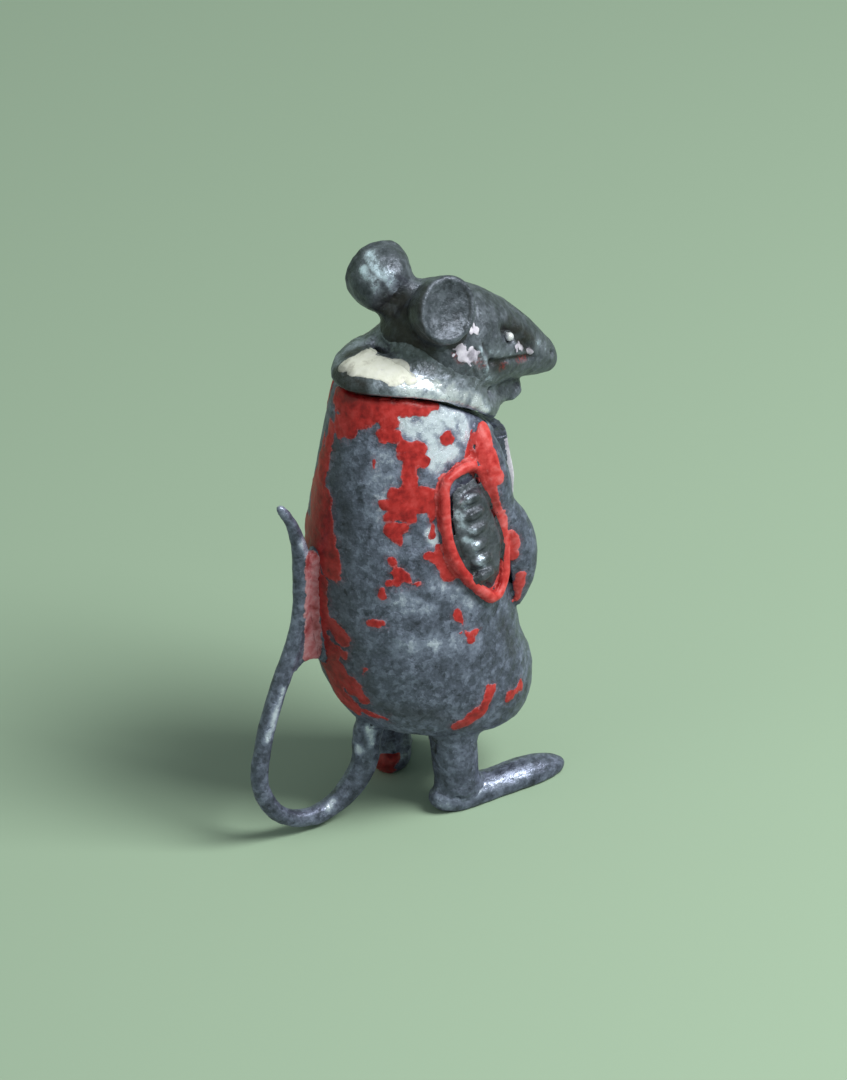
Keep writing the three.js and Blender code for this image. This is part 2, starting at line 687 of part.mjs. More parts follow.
// A leg's peg runs from the middle of its shaft into the coat.
function hipPeg(group, grow = 0) {
  const hem = V(0, 0, HEM_HEIGHT + COAT_HEIGHT * 0.06);
  const top = hem.clone().addScaledVector(UP, LEG_PEG_DEPTH + COAT_HEIGHT * 0.05 + grow);
  return moved(peg(V(0, 0, FOOT_HEIGHT * 1.6), top, LEG_PEG_DIAMETER + 2 * grow), group.matrixWorld);
}
function footSolid(group) {
  const foot = footShape().intersect(solid(aboveGround));
  return cut(moved(foot, group.matrixWorld), anklePeg(group, PEG_GAP));
}
function legSolid(group) {
  const shaft = cut(shaftSolid(group), coatCutter, moved(footShape(SOLDER_GAP), group.matrixWorld));
  return join(shaft, anklePeg(group), hipPeg(group));
}

// Tail: out of the seat of the coat, down round a loop, and up the back to a free tip.

const TAIL_SEAT = 0.16; // share of the coat's height where the root leaves the back
function tailCurve() {
  const seat = onCoat(TAIL_SEAT, Math.PI);
  const beside = TAIL_DIAMETER / 2 + SOLDER_GAP * 1.4;
  const back = (t, off) => onCoat(t, Math.PI).add(V(-beside - off * TAIL_TIP_REACH, 0, 0));
  const low = TAIL_CLEARANCE + TAIL_DIAMETER * 0.55;
  const behind = coatBack.getPoint(0.5).x - TAIL_LOOP_DEPTH;
  const loop = (out, up) => V(mix(seat.x, behind, out), 0, low + up * TAIL_LOOP_HEIGHT);
  return spline([
    seat.clone().add(V(TAIL_ROOT_DIAMETER * 0.55, 0, TAIL_ROOT_DIAMETER * 0.15)),
    seat.clone().add(V(TAIL_ROOT_DIAMETER * 0.12, 0, -TAIL_ROOT_DIAMETER * 0.55)),
    loop(0, 0.296),
    loop(0.17, 0.113),
    loop(0.4, 0.007),
    loop(0.62, 0),
    loop(0.86, 0.106),
    loop(1, 0.366),
    loop(0.94, 0.648),
    loop(0.78, 1),
    back(0.5, 0.35),
    back(0.58, 0.03),
    back(0.66, 0),
    back(0.72, 0.13),
    back(0.78, 0.53),
    back(0.82, 1),
  ]);
}
const tailPath = tailCurve();
const tailRadius = (u) => {
  const thinning = mix(TAIL_ROOT_DIAMETER, TAIL_DIAMETER, Math.min(1, u / 0.3));
  const tipping = u < 0.86 ? thinning : mix(TAIL_DIAMETER, TAIL_TIP_DIAMETER, (u - 0.86) / 0.14);
  return (tipping / 2) * rounded(1, 0.02, false)(u);
};
const tailPeg = (grow = 0) => {
  const from = tailPath.getPointAt(0.03);
  const inward = tailPath.getPointAt(0).sub(from).normalize();
  return peg(
    from,
    from.clone().addScaledVector(inward, TAIL_PEG_DEPTH + TAIL_ROOT_DIAMETER + grow),
    TAIL_PEG_DIAMETER + 2 * grow,
  );
};
// A thin web stands between the upper stretch of the tail and the coat's back.
const WEB_STEPS = 8;
function webSolid() {
  const length = tailPath.getLength();
  const edge = Array.from({ length: WEB_STEPS + 1 }, (_, i) => {
    const above = TAIL_TIP_LENGTH + WEB_LENGTH * (1 - i / WEB_STEPS);
    return tailPath.getPointAt(1 - above / length);
  });
  const outline = new THREE.Shape(edge.map((p) => new THREE.Vector2(p.x, p.z)));
  const inside = edge[0].x + TAIL_LOOP_DEPTH;
  outline.lineTo(inside, edge.at(-1).z);
  outline.lineTo(inside, edge[0].z - WEB_THICKNESS);
  const plate = new THREE.ExtrudeGeometry(outline, { depth: WEB_THICKNESS, bevelEnabled: false });
  plate.rotateX(Math.PI / 2).translate(0, WEB_THICKNESS / 2, 0);
  const foot = edge[0];
  const coatSide = restOnCoat(foot, 0, { t: 0.4, angle: Math.PI });
  const across = coatSide.clone().sub(foot);
  const reach = (across.length() - TAIL_DIAMETER / 2) / 2;
  const arch = new THREE.CylinderGeometry(reach, reach, TAIL_ROOT_DIAMETER, AROUND_LIMB);
  const crown = coatSide.clone().addScaledVector(across.normalize(), -reach);
  arch.translate(crown.x, 0, crown.z + WEB_ARCH - reach);
  return cut(solid(plate), solid(arch));
}
const tailSolid = () => {
  const rod = solid(sweep(tailPath, 44, AROUND_TUBE, tailRadius));
  return join(cut(join(rod, webSolid()), coatCutter), tailPeg());
};

// Assembly

const figure = new THREE.Group();
figure.add(headGroup);

function add(name, made, material, group = figure) {
  group.updateWorldMatrix(true, false);
  const local = moved(made, group.matrixWorld.clone().invert());
  const data = local.getMesh();
  const geometry = new THREE.BufferGeometry();
  geometry.setAttribute("position", new THREE.BufferAttribute(data.vertProperties, data.numProp));
  geometry.setIndex(new THREE.BufferAttribute(data.triVerts, 1));
  geometry.computeVertexNormals();
  const mesh = new THREE.Mesh(geometry, material);
  mesh.name = name;
  group.add(mesh);
}

const SIDES = [
  { word: "right", side: -1, forward: RIGHT_LEG_FORWARD, toeOut: RIGHT_TOE_OUT },
  { word: "left", side: 1, forward: LEFT_LEG_FORWARD, toeOut: LEFT_TOE_OUT },
];
for (const place of SIDES) {
  place.ear = earGroup(place.side);
  place.leg = legGroup(place.side, place.forward, place.toeOut);
  figure.add(place.leg);
}

const coat = cut(
  coatSolid(),
  neckPeg(PEG_GAP),
  tailPeg(PEG_GAP),
  sleevePeg(PEG_GAP),
  mirrored(sleevePeg(PEG_GAP)),
  ...SIDES.map((place) => hipPeg(place.leg, PEG_GAP)),
);
const head = cut(
  join(cut(join(skullSolid(), neckSolid()), coatCutter), neckPeg()),
  ...SIDES.flatMap((place) => [earPeg(place.ear, PEG_GAP), eyeSolid(place.side, PEG_GAP)]),
);
add("coat", coat, RED_PAINT);
add("shirt_front", shirtFront, WHITE_PAINT);
add("collar", cut(collarSolid(), coatCutter, headCutter), WHITE_PAINT);
add("head", head, BARE_METAL, headGroup);
add("tail", tailSolid(), BARE_METAL);
for (const { word, side, ear, leg } of SIDES) {
  add(`${word}_ear`, earSolid(ear), BARE_METAL, ear);
  add(`${word}_eye`, eyeSolid(side), BRIGHT_METAL, headGroup);
  add(`${word}_sleeve`, side < 0 ? rightSleeve : mirrored(rightSleeve), RED_PAINT);
  add(`${word}_paw`, side < 0 ? rightPaw : mirrored(rightPaw), BARE_METAL);
  add(`${word}_leg`, legSolid(leg), BARE_METAL, leg);
  add(`${word}_foot`, footSolid(leg), BARE_METAL, leg);
}

// The part's origin is on the ground, under the middle of its outline.
const extent = new THREE.Box3().setFromObject(figure, true);
const middle = extent.getCenter(V(0, 0, 0));
figure.position.set(-middle.x, -middle.y, -extent.min.z);
const part = new THREE.Group();
part.add(figure);

export default part;
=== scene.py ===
import itertools

import bpy
import numpy as np
from mathutils import Matrix, Vector
from mathutils.kdtree import KDTree


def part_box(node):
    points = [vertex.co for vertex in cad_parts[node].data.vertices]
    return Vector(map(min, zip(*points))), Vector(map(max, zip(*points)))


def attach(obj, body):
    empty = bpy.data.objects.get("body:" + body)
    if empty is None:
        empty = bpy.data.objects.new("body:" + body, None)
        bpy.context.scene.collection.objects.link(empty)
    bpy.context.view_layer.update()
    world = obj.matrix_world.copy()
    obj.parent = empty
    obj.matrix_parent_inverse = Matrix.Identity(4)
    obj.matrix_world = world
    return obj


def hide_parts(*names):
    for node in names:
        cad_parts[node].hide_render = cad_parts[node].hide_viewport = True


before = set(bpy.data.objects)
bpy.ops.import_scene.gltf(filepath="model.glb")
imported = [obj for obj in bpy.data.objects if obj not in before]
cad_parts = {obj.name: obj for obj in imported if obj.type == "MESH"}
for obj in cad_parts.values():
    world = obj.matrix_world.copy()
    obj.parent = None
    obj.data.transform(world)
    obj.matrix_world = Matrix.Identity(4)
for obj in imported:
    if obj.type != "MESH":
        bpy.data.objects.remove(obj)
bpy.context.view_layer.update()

# Coat. The main casting, solid lead-tin alloy poured in a two-part mould. It was brushed with one coat of
# red enamel, which handling has worn back to the grey metal over most of the flank. The other castings are
# pegged into it and soldered.

MM = 0.001
COAT_LOW, COAT_HIGH = (np.array(corner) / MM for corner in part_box("coat"))
COAT_MIDDLE = (COAT_LOW + COAT_HIGH) / 2

COAT_SKIN = 0.22
COAT_ROUNDING = 50
WELD_DISTANCE = 0.0005
TINY = 1e-9  # keeps a line without length from dividing by 0
RELAX_SHARE = 0.5  # how far a point moves towards the middle of its neighbours in one round
WAVE_DEPTH = 0.10
WAVE_SIZE = 3.2
CRUMPLE_DEPTH = 0.07
CRUMPLE_SIZE = 1.2
PIT_DEPTH = 0.032
PIT_SIZE = 0.55
PAINT_THICKNESS = 0.07
PAINT_EDGE = (-0.05, 0.12)  # the film rises to its full thickness between these depths inside a stroke
PAINT_RANGE = 3.0
UNPAINTED = -1.2  # a point further outside the strokes than this counts as just this far out
TEARS = ((0.34, 1.5), (0.22, 0.65), (0.12, 0.32))  # depth and size of the notches in flaked paint
WEAR_ROUNDS = 14
RIDGE = (0.02, 0.12)  # a ridge is rubbed from the first of these heights on, and fully at the second
RIDGE_RUB = 0.45
HOLLOW = (0.015, 0.11)  # and a hollow is grimy between these depths
SHEEN = 0.35
NOISE_ROUGHNESS = 0.6
FACET_STIR = 1.5  # how much finer than the flecks the noise is that bends their edges
METAL_LEVELS = (0.36, 0.50, 0.65, 0.85)
PAINT_LEVELS = (0.36, 0.50, 0.66)
FILM_HOLDS = (0.17, 0.25)  # metal turns to paint between these levels of the film
FILM_SCUFFED = (0.48, 0.20)  # and from whole paint to a scuffed edge between these
# The dirt and painted shade darken the paint by this share too.
GRIME_AND_SHADE_ON_PAINT = 0.75
BARE_METALLIC = 0.42

# The photo shows the figure this many degrees behind its right side, from above, and tilted.
VIEW_TURN, VIEW_DROP, VIEW_TILT = np.radians((26, 29, 6.2))
PHOTO_SCALE = 10.0  # pixels to a millimetre
PHOTO_MIDDLE = (410.7, 551.1)  # the pixel where the middle of the coat falls
PICK_SLACK = 2.0  # of the points as close to a pick as this, in pixels, the one nearest the camera counts

TO_CAMERA = np.array((-np.sin(VIEW_TURN), -np.cos(VIEW_TURN), np.tan(VIEW_DROP))) * np.cos(VIEW_DROP)
LEVEL_RIGHT = np.array((np.cos(VIEW_TURN), -np.sin(VIEW_TURN), 0.0))
LEVEL_UP = np.cross(TO_CAMERA, LEVEL_RIGHT)
PHOTO_RIGHT = LEVEL_RIGHT * np.cos(VIEW_TILT) - LEVEL_UP * np.sin(VIEW_TILT)
PHOTO_UP = LEVEL_RIGHT * np.sin(VIEW_TILT) + LEVEL_UP * np.cos(VIEW_TILT)

# Paint, painted highlights and painted shade are strokes picked on the photo: the pixels of both ends and
# half the width.
RED_UNDER_COLLAR = (
    (340, 399, 365, 402, 13.5),
    (365, 401, 410, 405, 12),
    (410, 405, 432, 403, 7.5),
    (346, 410, 388, 411, 12),
    (338, 425, 364, 420, 10),
    (338, 434, 350, 434, 7),
    (386, 418, 393, 428, 10.5),
    (385, 438, 395, 438, 9.5),
    (330, 430, 322, 460, 9),
    (418, 410, 426, 412, 7),
)
RED_ON_SHOULDER = (
    (402, 449, 424, 452, 7.5),
    (406, 458, 426, 460, 6.5),
    (410, 458, 410, 488, 8.5),
    (395, 497, 432, 498, 8.5),
    (384, 508, 424, 508, 8.5),
    (388, 518, 411, 518, 8.5),
    (396, 529, 404, 529, 8.5),
    (400, 539, 401, 545, 4.5),
    (432, 502, 434, 535, 4),
    (432, 555, 440, 562, 4.5),
    (440, 565, 448, 577, 5.5),
    (478, 436, 473, 458, 7.5),
)
RED_ON_FLANK = (
    (391, 562, 395, 574, 4.5),
    (396, 573, 410, 582, 6),
    (386, 584, 398, 584, 4.5),
    (380, 590, 383, 596, 2.8),
    (408, 584, 415, 586, 4),
    (368, 625, 383, 625, 3.5),
    (447, 437, 452, 441, 6),
    (372, 463, 374, 471, 2.4),
    (458, 615, 466, 628, 2.8),
    (468, 630, 472, 641, 4),
    (462, 634, 478, 632, 2.6),
    (366, 670, 362, 675, 2.8),
    (438, 560, 452, 578, 7.5),
    (440, 548, 442, 560, 5),
)
RED_AT_HEM = (
    (492, 690, 486, 706, 7),
    (484, 710, 470, 719, 7),
    (468, 722, 458, 727, 5),
    (511, 697, 522, 686, 5),
    (366, 713, 386, 720, 5.5),
)
RED_DOWN_BACK = (
    (318, 450, 312, 500, 6),
    (322, 500, 327, 570, 12.5),
    (330, 540, 333, 575, 9),
    (322, 580, 324, 625, 8),
    (332, 628, 340, 640, 9),
    (326, 640, 332, 655, 9),
    (338, 650, 342, 655, 6.5),
    (335, 665, 350, 690, 12),
    (350, 680, 362, 700, 7.5),
    (352, 705, 354, 712, 6),
)
# Painted highlights on the shoulder, where the bare metal is also rubbed.
BRIGHT_ON_COAT = (
    (432, 413, 440, 430, 7.5),
    (446, 412, 458, 420, 7),
    (437, 440, 440, 462, 7),
    (446, 450, 455, 452, 6),
    (462, 420, 466, 436, 5.5),
    (397, 410, 406, 420, 6),
    (408, 430, 424, 434, 5.5),
    (432, 534, 434, 542, 3.5),
)
PALE_ON_COAT = (
    (424, 512, 424, 530, 3),
    (410, 540, 426, 546, 4),
    (452, 648, 474, 642, 8),
    (440, 588, 470, 604, 9),
    (400, 606, 430, 612, 9),
    (400, 650, 440, 640, 10),
    (385, 540, 388, 548, 5),
    (385, 465, 379, 514, 14),
)
# Painted shade down the back edge, along the hem and at the right edge of the chest.
DARK_ON_COAT = (
    (335, 445, 335, 490, 8),
    (343, 500, 345, 560, 6),
    (338, 585, 342, 615, 7),
    (352, 640, 372, 700, 8),
    (380, 708, 420, 716, 8),
    (430, 714, 480, 730, 5),
    (505, 620, 515, 650, 7),
)
# Round the back, where the photo doesn't reach, the ends are in millimetres from the middle of the coat.
RED_BEHIND = (
    (-7.4, 1.8, 15.0, -8.2, 2.4, 12.0, 1.30),
    (-8.2, 1.4, 13.0, -9.8, 1.4, 8.0, 1.90),
    (-9.8, 0.8, 8.0, -11.0, 0.5, 2.0, 1.80),
    (-11.0, 0.5, 2.0, -11.2, 0.0, -6.0, 2.00),
    (-11.2, 0.0, -6.0, -9.6, -1.2, -13.0, 1.70),
)

# On the far side the paint is laid in free patches, and has held best at the collar, the hem and the back.
FAR_SIDE = (0.0, 3.5)
FAR_PATCHES = ((1.1, 4.5, 5), (0.5, 2.0, 6))
FAR_LEVEL = -0.75
COLLAR_BAND = (-7.0, -2.0)
HELD_AT_COLLAR = 1.1
HEM_BAND = (-3.5, -0.5)
HELD_AT_HEM = 0.7
BACK_BAND = (7.0, 10.0)
HELD_AT_BACK = 0.6
# Painted shade: the back darkens from the first distance behind the middle and fully at the second, this
# strongly.
SHADED_BACK = (8.0, 10.5)
BACK_SHADE = 0.55

# How strongly strokes show, and the depths inside them where their soft edge starts and is full.
COAT_BRIGHT = (1.0, -1.0, 0.3)
COAT_PALE = (0.35, -0.8, 0.8)
COAT_DARK = (0.55, -0.9, 0.7)
COAT_STAIN = 0.12
STAIN_EDGE = (-0.6, -0.1)

# The brightest lead is rubbed metal and painted highlight; the grime colour is dirt and painted shade.
LEAD_DARK = (0.046, 0.052, 0.074)
LEAD_MIDDLE = (0.125, 0.142, 0.205)
LEAD_LIGHT = (0.28, 0.315, 0.44)
LEAD_RUB_AND_HIGHLIGHT = (0.80, 0.87, 1.0)
LEAD_GRIME_AND_SHADE = (0.022, 0.018, 0.016)
RED_DEEP = (0.26, 0.010, 0.012)
RED_BODY = (0.50, 0.028, 0.024)
RED_LIGHT = (0.66, 0.070, 0.062)
RED_SCUFFED = (0.66, 0.26, 0.27)

# The grain of the metal comes from a grid of cells, turned off the axes, with a hash of each corner.
GRAIN_TURN = np.array(Matrix.Rotation(0.7, 3, Vector((0.4, 0.9, 0.3))))
GRAIN_APART = 17.31
HASH_FACTORS = (73856093, 19349663, 83492791)
HASH_SEED = 2654435
HASH_SHIFT = 13
HASH_SPREAD = 1274126177
HASH_TOP = 0x7FFFFFFF


def grain(points, size, seed):
    """Smooth random values from -1 to 1 that change over about the given size, other ones for each seed."""
    cells = points @ GRAIN_TURN / size + seed * GRAIN_APART
    corner = np.floor(cells).astype(np.int64)
    share = cells - corner
    share = share * share * (3 - 2 * share)
    total = np.zeros(len(points))
    for step in itertools.product((0, 1), repeat=3):
        x, y, z = ((corner + step) * HASH_FACTORS).T
        mixed = x ^ y ^ z ^ (seed * HASH_SEED)
        mixed = ((mixed ^ (mixed >> HASH_SHIFT)) * HASH_SPREAD) & HASH_TOP
        weight = np.prod(np.where(step, share, 1 - share), axis=1)
        total += (mixed / (HASH_TOP // 2) - 1) * weight
    return total


def soft_step(values, low, high):
    """0 below low, 1 above high and a smooth rise between them."""
    share = np.clip((values - low) / (high - low), 0, 1)
    return share * share * (3 - 2 * share)


def off_line(points, path):
    """How far each point is from the line through the points of a path."""
    path = np.array(path, float)
    nearest = np.full(len(points), np.inf)
    for start, end in zip(path[:-1], path[1:]):
        along = end - start
        share = np.clip((points - start) @ along / max(along @ along, TINY), 0, 1)
        nearest = np.minimum(nearest, np.linalg.norm(points - start - share[:, None] * along, axis=1))
    return nearest


def inside_strokes(points, strokes):
    """How far inside the nearest stroke each point is, in millimetres, and below 0 outside."""
    deepest = np.full(len(points), -np.inf)
    for stroke in strokes:
        deepest = np.maximum(deepest, stroke[6] - off_line(points, (stroke[0:3], stroke[3:6])))
    return deepest


def painted(points, strokes):
    """How far inside the paint each point is, as far out as it matters."""
    return np.maximum(inside_strokes(points, strokes), UNPAINTED)


def touched(points, strokes, fade):
    """How strongly strokes show at each point, given their strength and soft edge."""
    strength, low, high = fade
    return strength * soft_step(inside_strokes(points, strokes), low, high)


def as_on_right(points, node):
    """The points of a piece, with a left-hand one mirrored to the right."""
    return points * (1, -1, 1) if node.startswith("left") else points


def relax(values, edges, rounds):
    """Averages the values of neighbouring points, which rounds off facets and edges."""
    neighbours = np.bincount(edges.ravel(), minlength=len(values))[:, None]
    for _ in range(rounds):
        total = np.zeros_like(values)
        for axis in range(values.shape[1]):
            one_way = np.bincount(edges[:, 0], values[edges[:, 1], axis], len(values))
            other_way = np.bincount(edges[:, 1], values[edges[:, 0], axis], len(values))
            total[:, axis] = one_way + other_way
        values = values + RELAX_SHARE * (total / neighbours - values)
    return values


class Casting:
    """One casting as an even skin that can be tooled, in millimetres from the middle of the coat."""

    def __init__(self, name, mesh, rounding):
        self.name = name
        self.mesh = mesh
        edges = np.zeros(len(mesh.edges) * 2, np.int64)
        mesh.edges.foreach_get("vertices", edges)
        self.edges = edges.reshape(-1, 2)
        points = np.zeros(len(mesh.vertices) * 3)
        mesh.vertices.foreach_get("co", points)
        self.points = relax(points.reshape(-1, 3), self.edges, rounding)
        self.refresh()

    def refresh(self):
        """Puts the points into the mesh and reads the normals back."""
        self.mesh.vertices.foreach_set("co", self.points.ravel())
        self.mesh.update()
        normals = np.zeros(len(self.points) * 3)
        self.mesh.vertex_normals.foreach_get("vector", normals)
        self.normals = normals.reshape(-1, 3)

    def spot(self, x, y):
        """The point at a pixel of the photo, on the side of the casting that the photo shows."""
        shown = self.points[self.normals @ TO_CAMERA > 0]
        across = PHOTO_MIDDLE[0] + PHOTO_SCALE * (shown @ PHOTO_RIGHT)
        down = PHOTO_MIDDLE[1] - PHOTO_SCALE * (shown @ PHOTO_UP)
        off = np.hypot(across - x, down - y)
        close = shown[off < off.min() + PICK_SLACK]
        return close[(close @ TO_CAMERA).argmax()]

    def lay(self, marks):
        """Strokes picked on the photo as they lie on the casting: both ends and half the width."""
        return [(*self.spot(*mark[0:2]), *self.spot(*mark[2:4]), mark[4] / PHOTO_SCALE) for mark in marks]

    def tool(self, heights):
        """Raises or sinks the surface by a height at each point."""
        self.points = self.points + heights[:, None] * self.normals
        self.refresh()

    def hollow(self, rounds):
        """How deep each point lies under its smoothed surroundings; below 0 on ridges."""
        return ((relax(self.points, self.edges, rounds) - self.points) * self.normals).sum(1)

    def mottle(self, level, *layers):
        """A level made uneven by layers of grain, each with its strength, size and seed."""
        return level + sum(strength * grain(self.points, size, seed) for strength, size, seed in layers)

    def crumple(self, seed, share=1.0):
        """The uneven surface of a hand-poured casting, from broad waves down to pits."""
        waves = (WAVE_DEPTH, WAVE_SIZE, seed)
        creases = (CRUMPLE_DEPTH, CRUMPLE_SIZE, seed + 1)
        pits = (PIT_DEPTH, PIT_SIZE, seed + 2)
        self.tool(share * self.mottle(0.0, waves, creases, pits))

    def ragged(self, seed, share=1.0):
        """The torn edge of flaked paint, as millimetres to add to a paint depth."""
        layers = ((depth, size, seed + layer) for layer, (depth, size) in enumerate(TEARS))
        return share * self.mottle(0.0, *layers)

    def mark(self, name, values):
        """Keeps a value at each point for the material to read."""
        layer = self.mesh.attributes.new(name, "FLOAT", "POINT")
        layer.data.foreach_set("value", np.asarray(values, np.float32))

    def wear(self, paint=UNPAINTED, rub=0.0, grime_and_shade=0.0, stain=0.0):
        """Raises the paint film; marks paint, rubbed metal and painted highlight, dirt and painted shade,
        and red stain for the material.
        """
        bare = np.zeros(len(self.points))
        paint = bare + paint
        self.tool(PAINT_THICKNESS * soft_step(paint, *PAINT_EDGE))
        depth = self.hollow(WEAR_ROUNDS)
        self.mark("paint", np.clip(paint, -PAINT_RANGE, PAINT_RANGE))
        self.mark("rub", np.clip(bare + rub + RIDGE_RUB * soft_step(-depth, *RIDGE), 0, 1))
        self.mark("grime_and_shade", np.clip(bare + grime_and_shade + soft_step(depth, *HOLLOW), 0, 1))
        self.mark("stain", np.clip(bare + stain, 0, 1))

    def fit(self, material, slot, *nodes):
        """Turns the casting back into metres and puts it in the place of its nodes."""
        self.mesh.transform(Matrix.Scale(MM, 4) @ Matrix.Translation(Vector(COAT_MIDDLE)))
        self.mesh.shade_smooth()
        self.mesh.materials.clear()
        self.mesh.materials.append(material)
        piece = bpy.data.objects.new(self.name, self.mesh)
        bpy.context.scene.collection.objects.link(piece)
        if nodes:
            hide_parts(*nodes)
        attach(piece, "root")


def cast(node, skin, rounding):
    """Covers a node's solid with small even faces and rounds off its facets."""
    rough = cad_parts[node].data.copy()
    rough.transform(Matrix.Translation(-Vector(COAT_MIDDLE)) @ Matrix.Scale(1 / MM, 4))
    carrier = bpy.data.objects.new("carrier", rough)
    bpy.context.scene.collection.objects.link(carrier)
    weld = carrier.modifiers.new("weld", "WELD")
    weld.merge_threshold = WELD_DISTANCE
    remesh = carrier.modifiers.new("even", "REMESH")
    remesh.mode = "VOXEL"
    remesh.voxel_size = skin
    ready = carrier.evaluated_get(bpy.context.evaluated_depsgraph_get())
    even = bpy.data.meshes.new_from_object(ready)
    bpy.data.objects.remove(carrier)
    bpy.data.meshes.remove(rough)
    return Casting(node + "_casting", even, rounding)


class Finish:
    """A material in the making: each call adds one node and gives back its output."""

    def __init__(self, name):
        self.material = bpy.data.materials.new(name)
        self.material.use_nodes = True
        self.shader = self.material.node_tree.nodes["Principled BSDF"]
        self.shader.inputs["Specular IOR Level"].default_value = SHEEN
        place = self.node("TexCoord", {}, "Object")
        self.place = self.node("VectorMath", {0: place, 1: (1 / MM,) * 3}, operation="MULTIPLY")

    def node(self, kind, sockets, out=0, **options):
        """Adds a node of a kind, sets it up and gives back one of its outputs."""
        made = self.material.node_tree.nodes.new("ShaderNode" + kind)
        for option, value in options.items():
            setattr(made, option, value)
        for socket, value in sockets.items():
            self.feed(made.inputs[socket], value)
        return made.outputs[out]

    def feed(self, socket, value):
        """Links a socket to an output, or sets it to a number or a colour."""
        if isinstance(value, bpy.types.NodeSocket):
            self.material.node_tree.links.new(value, socket)
        elif socket.type == "RGBA" and len(value) == 3:
            socket.default_value = (*value, 1)
        else:
            socket.default_value = value

    def noise(self, size, detail, twist=0.0):
        """Noise with marks of about the given size in millimetres."""
        sockets = {"Vector": self.place, "Scale": 1 / size, "Detail": detail}
        sockets.update({"Roughness": NOISE_ROUGHNESS, "Distortion": twist})
        return self.node("TexNoise", sockets, "Fac")

    def facets(self, size, bend):
        """Flat flecks of about the given size, each of its own tone, with uneven edges."""
        sockets = {"Vector": self.place, "Scale": FACET_STIR / size, "Detail": 2}
        stir = self.node("TexNoise", sockets, "Color")
        moved = self.node("VectorMath", {0: stir, 1: (bend,) * 3, 2: self.place}, operation="MULTIPLY_ADD")
        return self.node("TexVoronoi", {"Vector": moved, "Scale": 1 / size}, "Color")

    def read(self, name):
        """A value that a casting keeps at each point."""
        return self.node("Attribute", {}, "Fac", attribute_name=name)

    def sum(self, *terms):
        """Adds up pairs of a value and the factor it counts with."""
        total = 0.0
        for value, factor in terms:
            total = self.node("Math", {0: value, 1: factor, 2: total}, operation="MULTIPLY_ADD")
        return total

    def times(self, one, other):
        """Multiplies two values."""
        return self.node("Math", {0: one, 1: other}, operation="MULTIPLY")

    def span(self, value, low, high, start=0.0, end=1.0):
        """Turns a value from low to high smoothly into one from start to end."""
        sockets = {"Value": value, "From Min": low, "From Max": high, "To Min": start, "To Max": end}
        return self.node("MapRange", sockets, interpolation_type="SMOOTHSTEP")

    def blend(self, share, under, over):
        """Lays a share of one colour over another."""
        return self.node("MixRGB", {"Fac": share, "Color1": under, "Color2": over})

    def ramp(self, value, *stops):
        """A colour for each level of a value, from pairs of a level and a colour."""
        colour = self.node("ValToRGB", {"Fac": value}, "Color")
        marks = colour.node.color_ramp.elements
        while len(marks) < len(stops):
            marks.new(0.5)
        for mark, (level, shade) in zip(marks, stops):
            mark.position = level
            mark.color = (*shade, 1)
        return colour

    def done(self, base, metallic, roughness, height):
        """Feeds the shader, with a relief given in millimetres."""
        bump = self.node("Bump", {"Height": height, "Distance": MM, "Strength": 1.0}, "Normal")
        self.feed(self.shader.inputs["Base Color"], base)
        self.feed(self.shader.inputs["Metallic"], metallic)
        self.feed(self.shader.inputs["Roughness"], roughness)
        self.feed(self.shader.inputs["Normal"], bump)
        return self.material


def worn_paint(name, lead, paint):
    """Cast lead alloy with what is left of a brushed coat of paint."""
    look = Finish(name)
    *shades, scuffed = paint
    cloud = look.noise(size=3.2, detail=4)
    blotch = look.noise(size=1.0, detail=4)
    speck = look.noise(size=0.28, detail=3)
    fleck = look.facets(size=0.75, bend=0.9)
    chip = look.facets(size=0.36, bend=0.4)
    # The rub value lightens the metal, for rubbed metal and painted highlights alike.
    rub = look.read("rub")
    tone = look.sum((cloud, 0.26), (blotch, 0.36), (speck, 0.14), (fleck, 0.14), (chip, 0.10), (rub, 0.39))
    metal = look.ramp(tone, *zip(METAL_LEVELS, lead))
    # The grime value darkens metal and paint, for dirt and painted shade alike.
    grime_and_shade_share = look.times(look.read("grime_and_shade"), look.span(blotch, 0.3, 0.6, 0.45, 0.9))
    metal = look.blend(grime_and_shade_share, metal, LEAD_GRIME_AND_SHADE)
    stained = look.times(look.read("stain"), look.span(speck, 0.40, 0.60))
    metal = look.blend(stained, metal, RED_BODY)

    film = look.sum((look.read("paint"), 1.0), (speck, 0.26), (blotch, 0.16))
    kept = look.span(film, *FILM_HOLDS)
    brush = look.noise(size=0.8, detail=5, twist=0.3)
    thick = look.sum((brush, 0.50), (cloud, 0.50))
    coat = look.ramp(thick, *zip(PAINT_LEVELS, shades))
    edge = look.times(look.span(film, *FILM_SCUFFED), look.span(speck, 0.48, 0.60, 0.0, 0.6))
    coat = look.blend(edge, coat, scuffed)
    coat = look.blend(look.times(grime_and_shade_share, GRIME_AND_SHADE_ON_PAINT), coat, LEAD_GRIME_AND_SHADE)

    base = look.blend(kept, metal, coat)
    metallic = look.span(kept, 0.0, 1.0, BARE_METALLIC, 0.0)
    bare_gloss = look.sum((blotch, 0.30), (fleck, 0.12), (rub, -0.16), (0.19, 1.0))
    coat_gloss = look.sum((brush, 0.40), (speck, 0.15), (0.14, 1.0))
    roughness = look.node("Mix", {0: kept, 2: bare_gloss, 3: coat_gloss})
    bare_relief = look.sum((blotch, 0.17), (speck, 0.05), (fleck, 0.030), (chip, 0.020))
    coat_relief = look.sum((brush, 0.06), (speck, 0.02), (0.12, 1.0))
    relief = look.node("Mix", {0: kept, 2: bare_relief, 3: coat_relief})
    return look.done(base, metallic, roughness, relief)


LEAD = (LEAD_DARK, LEAD_MIDDLE, LEAD_LIGHT, LEAD_RUB_AND_HIGHLIGHT)
RED = (RED_DEEP, RED_BODY, RED_LIGHT, RED_SCUFFED)
red_enamel = worn_paint("worn_red_enamel", LEAD, RED)

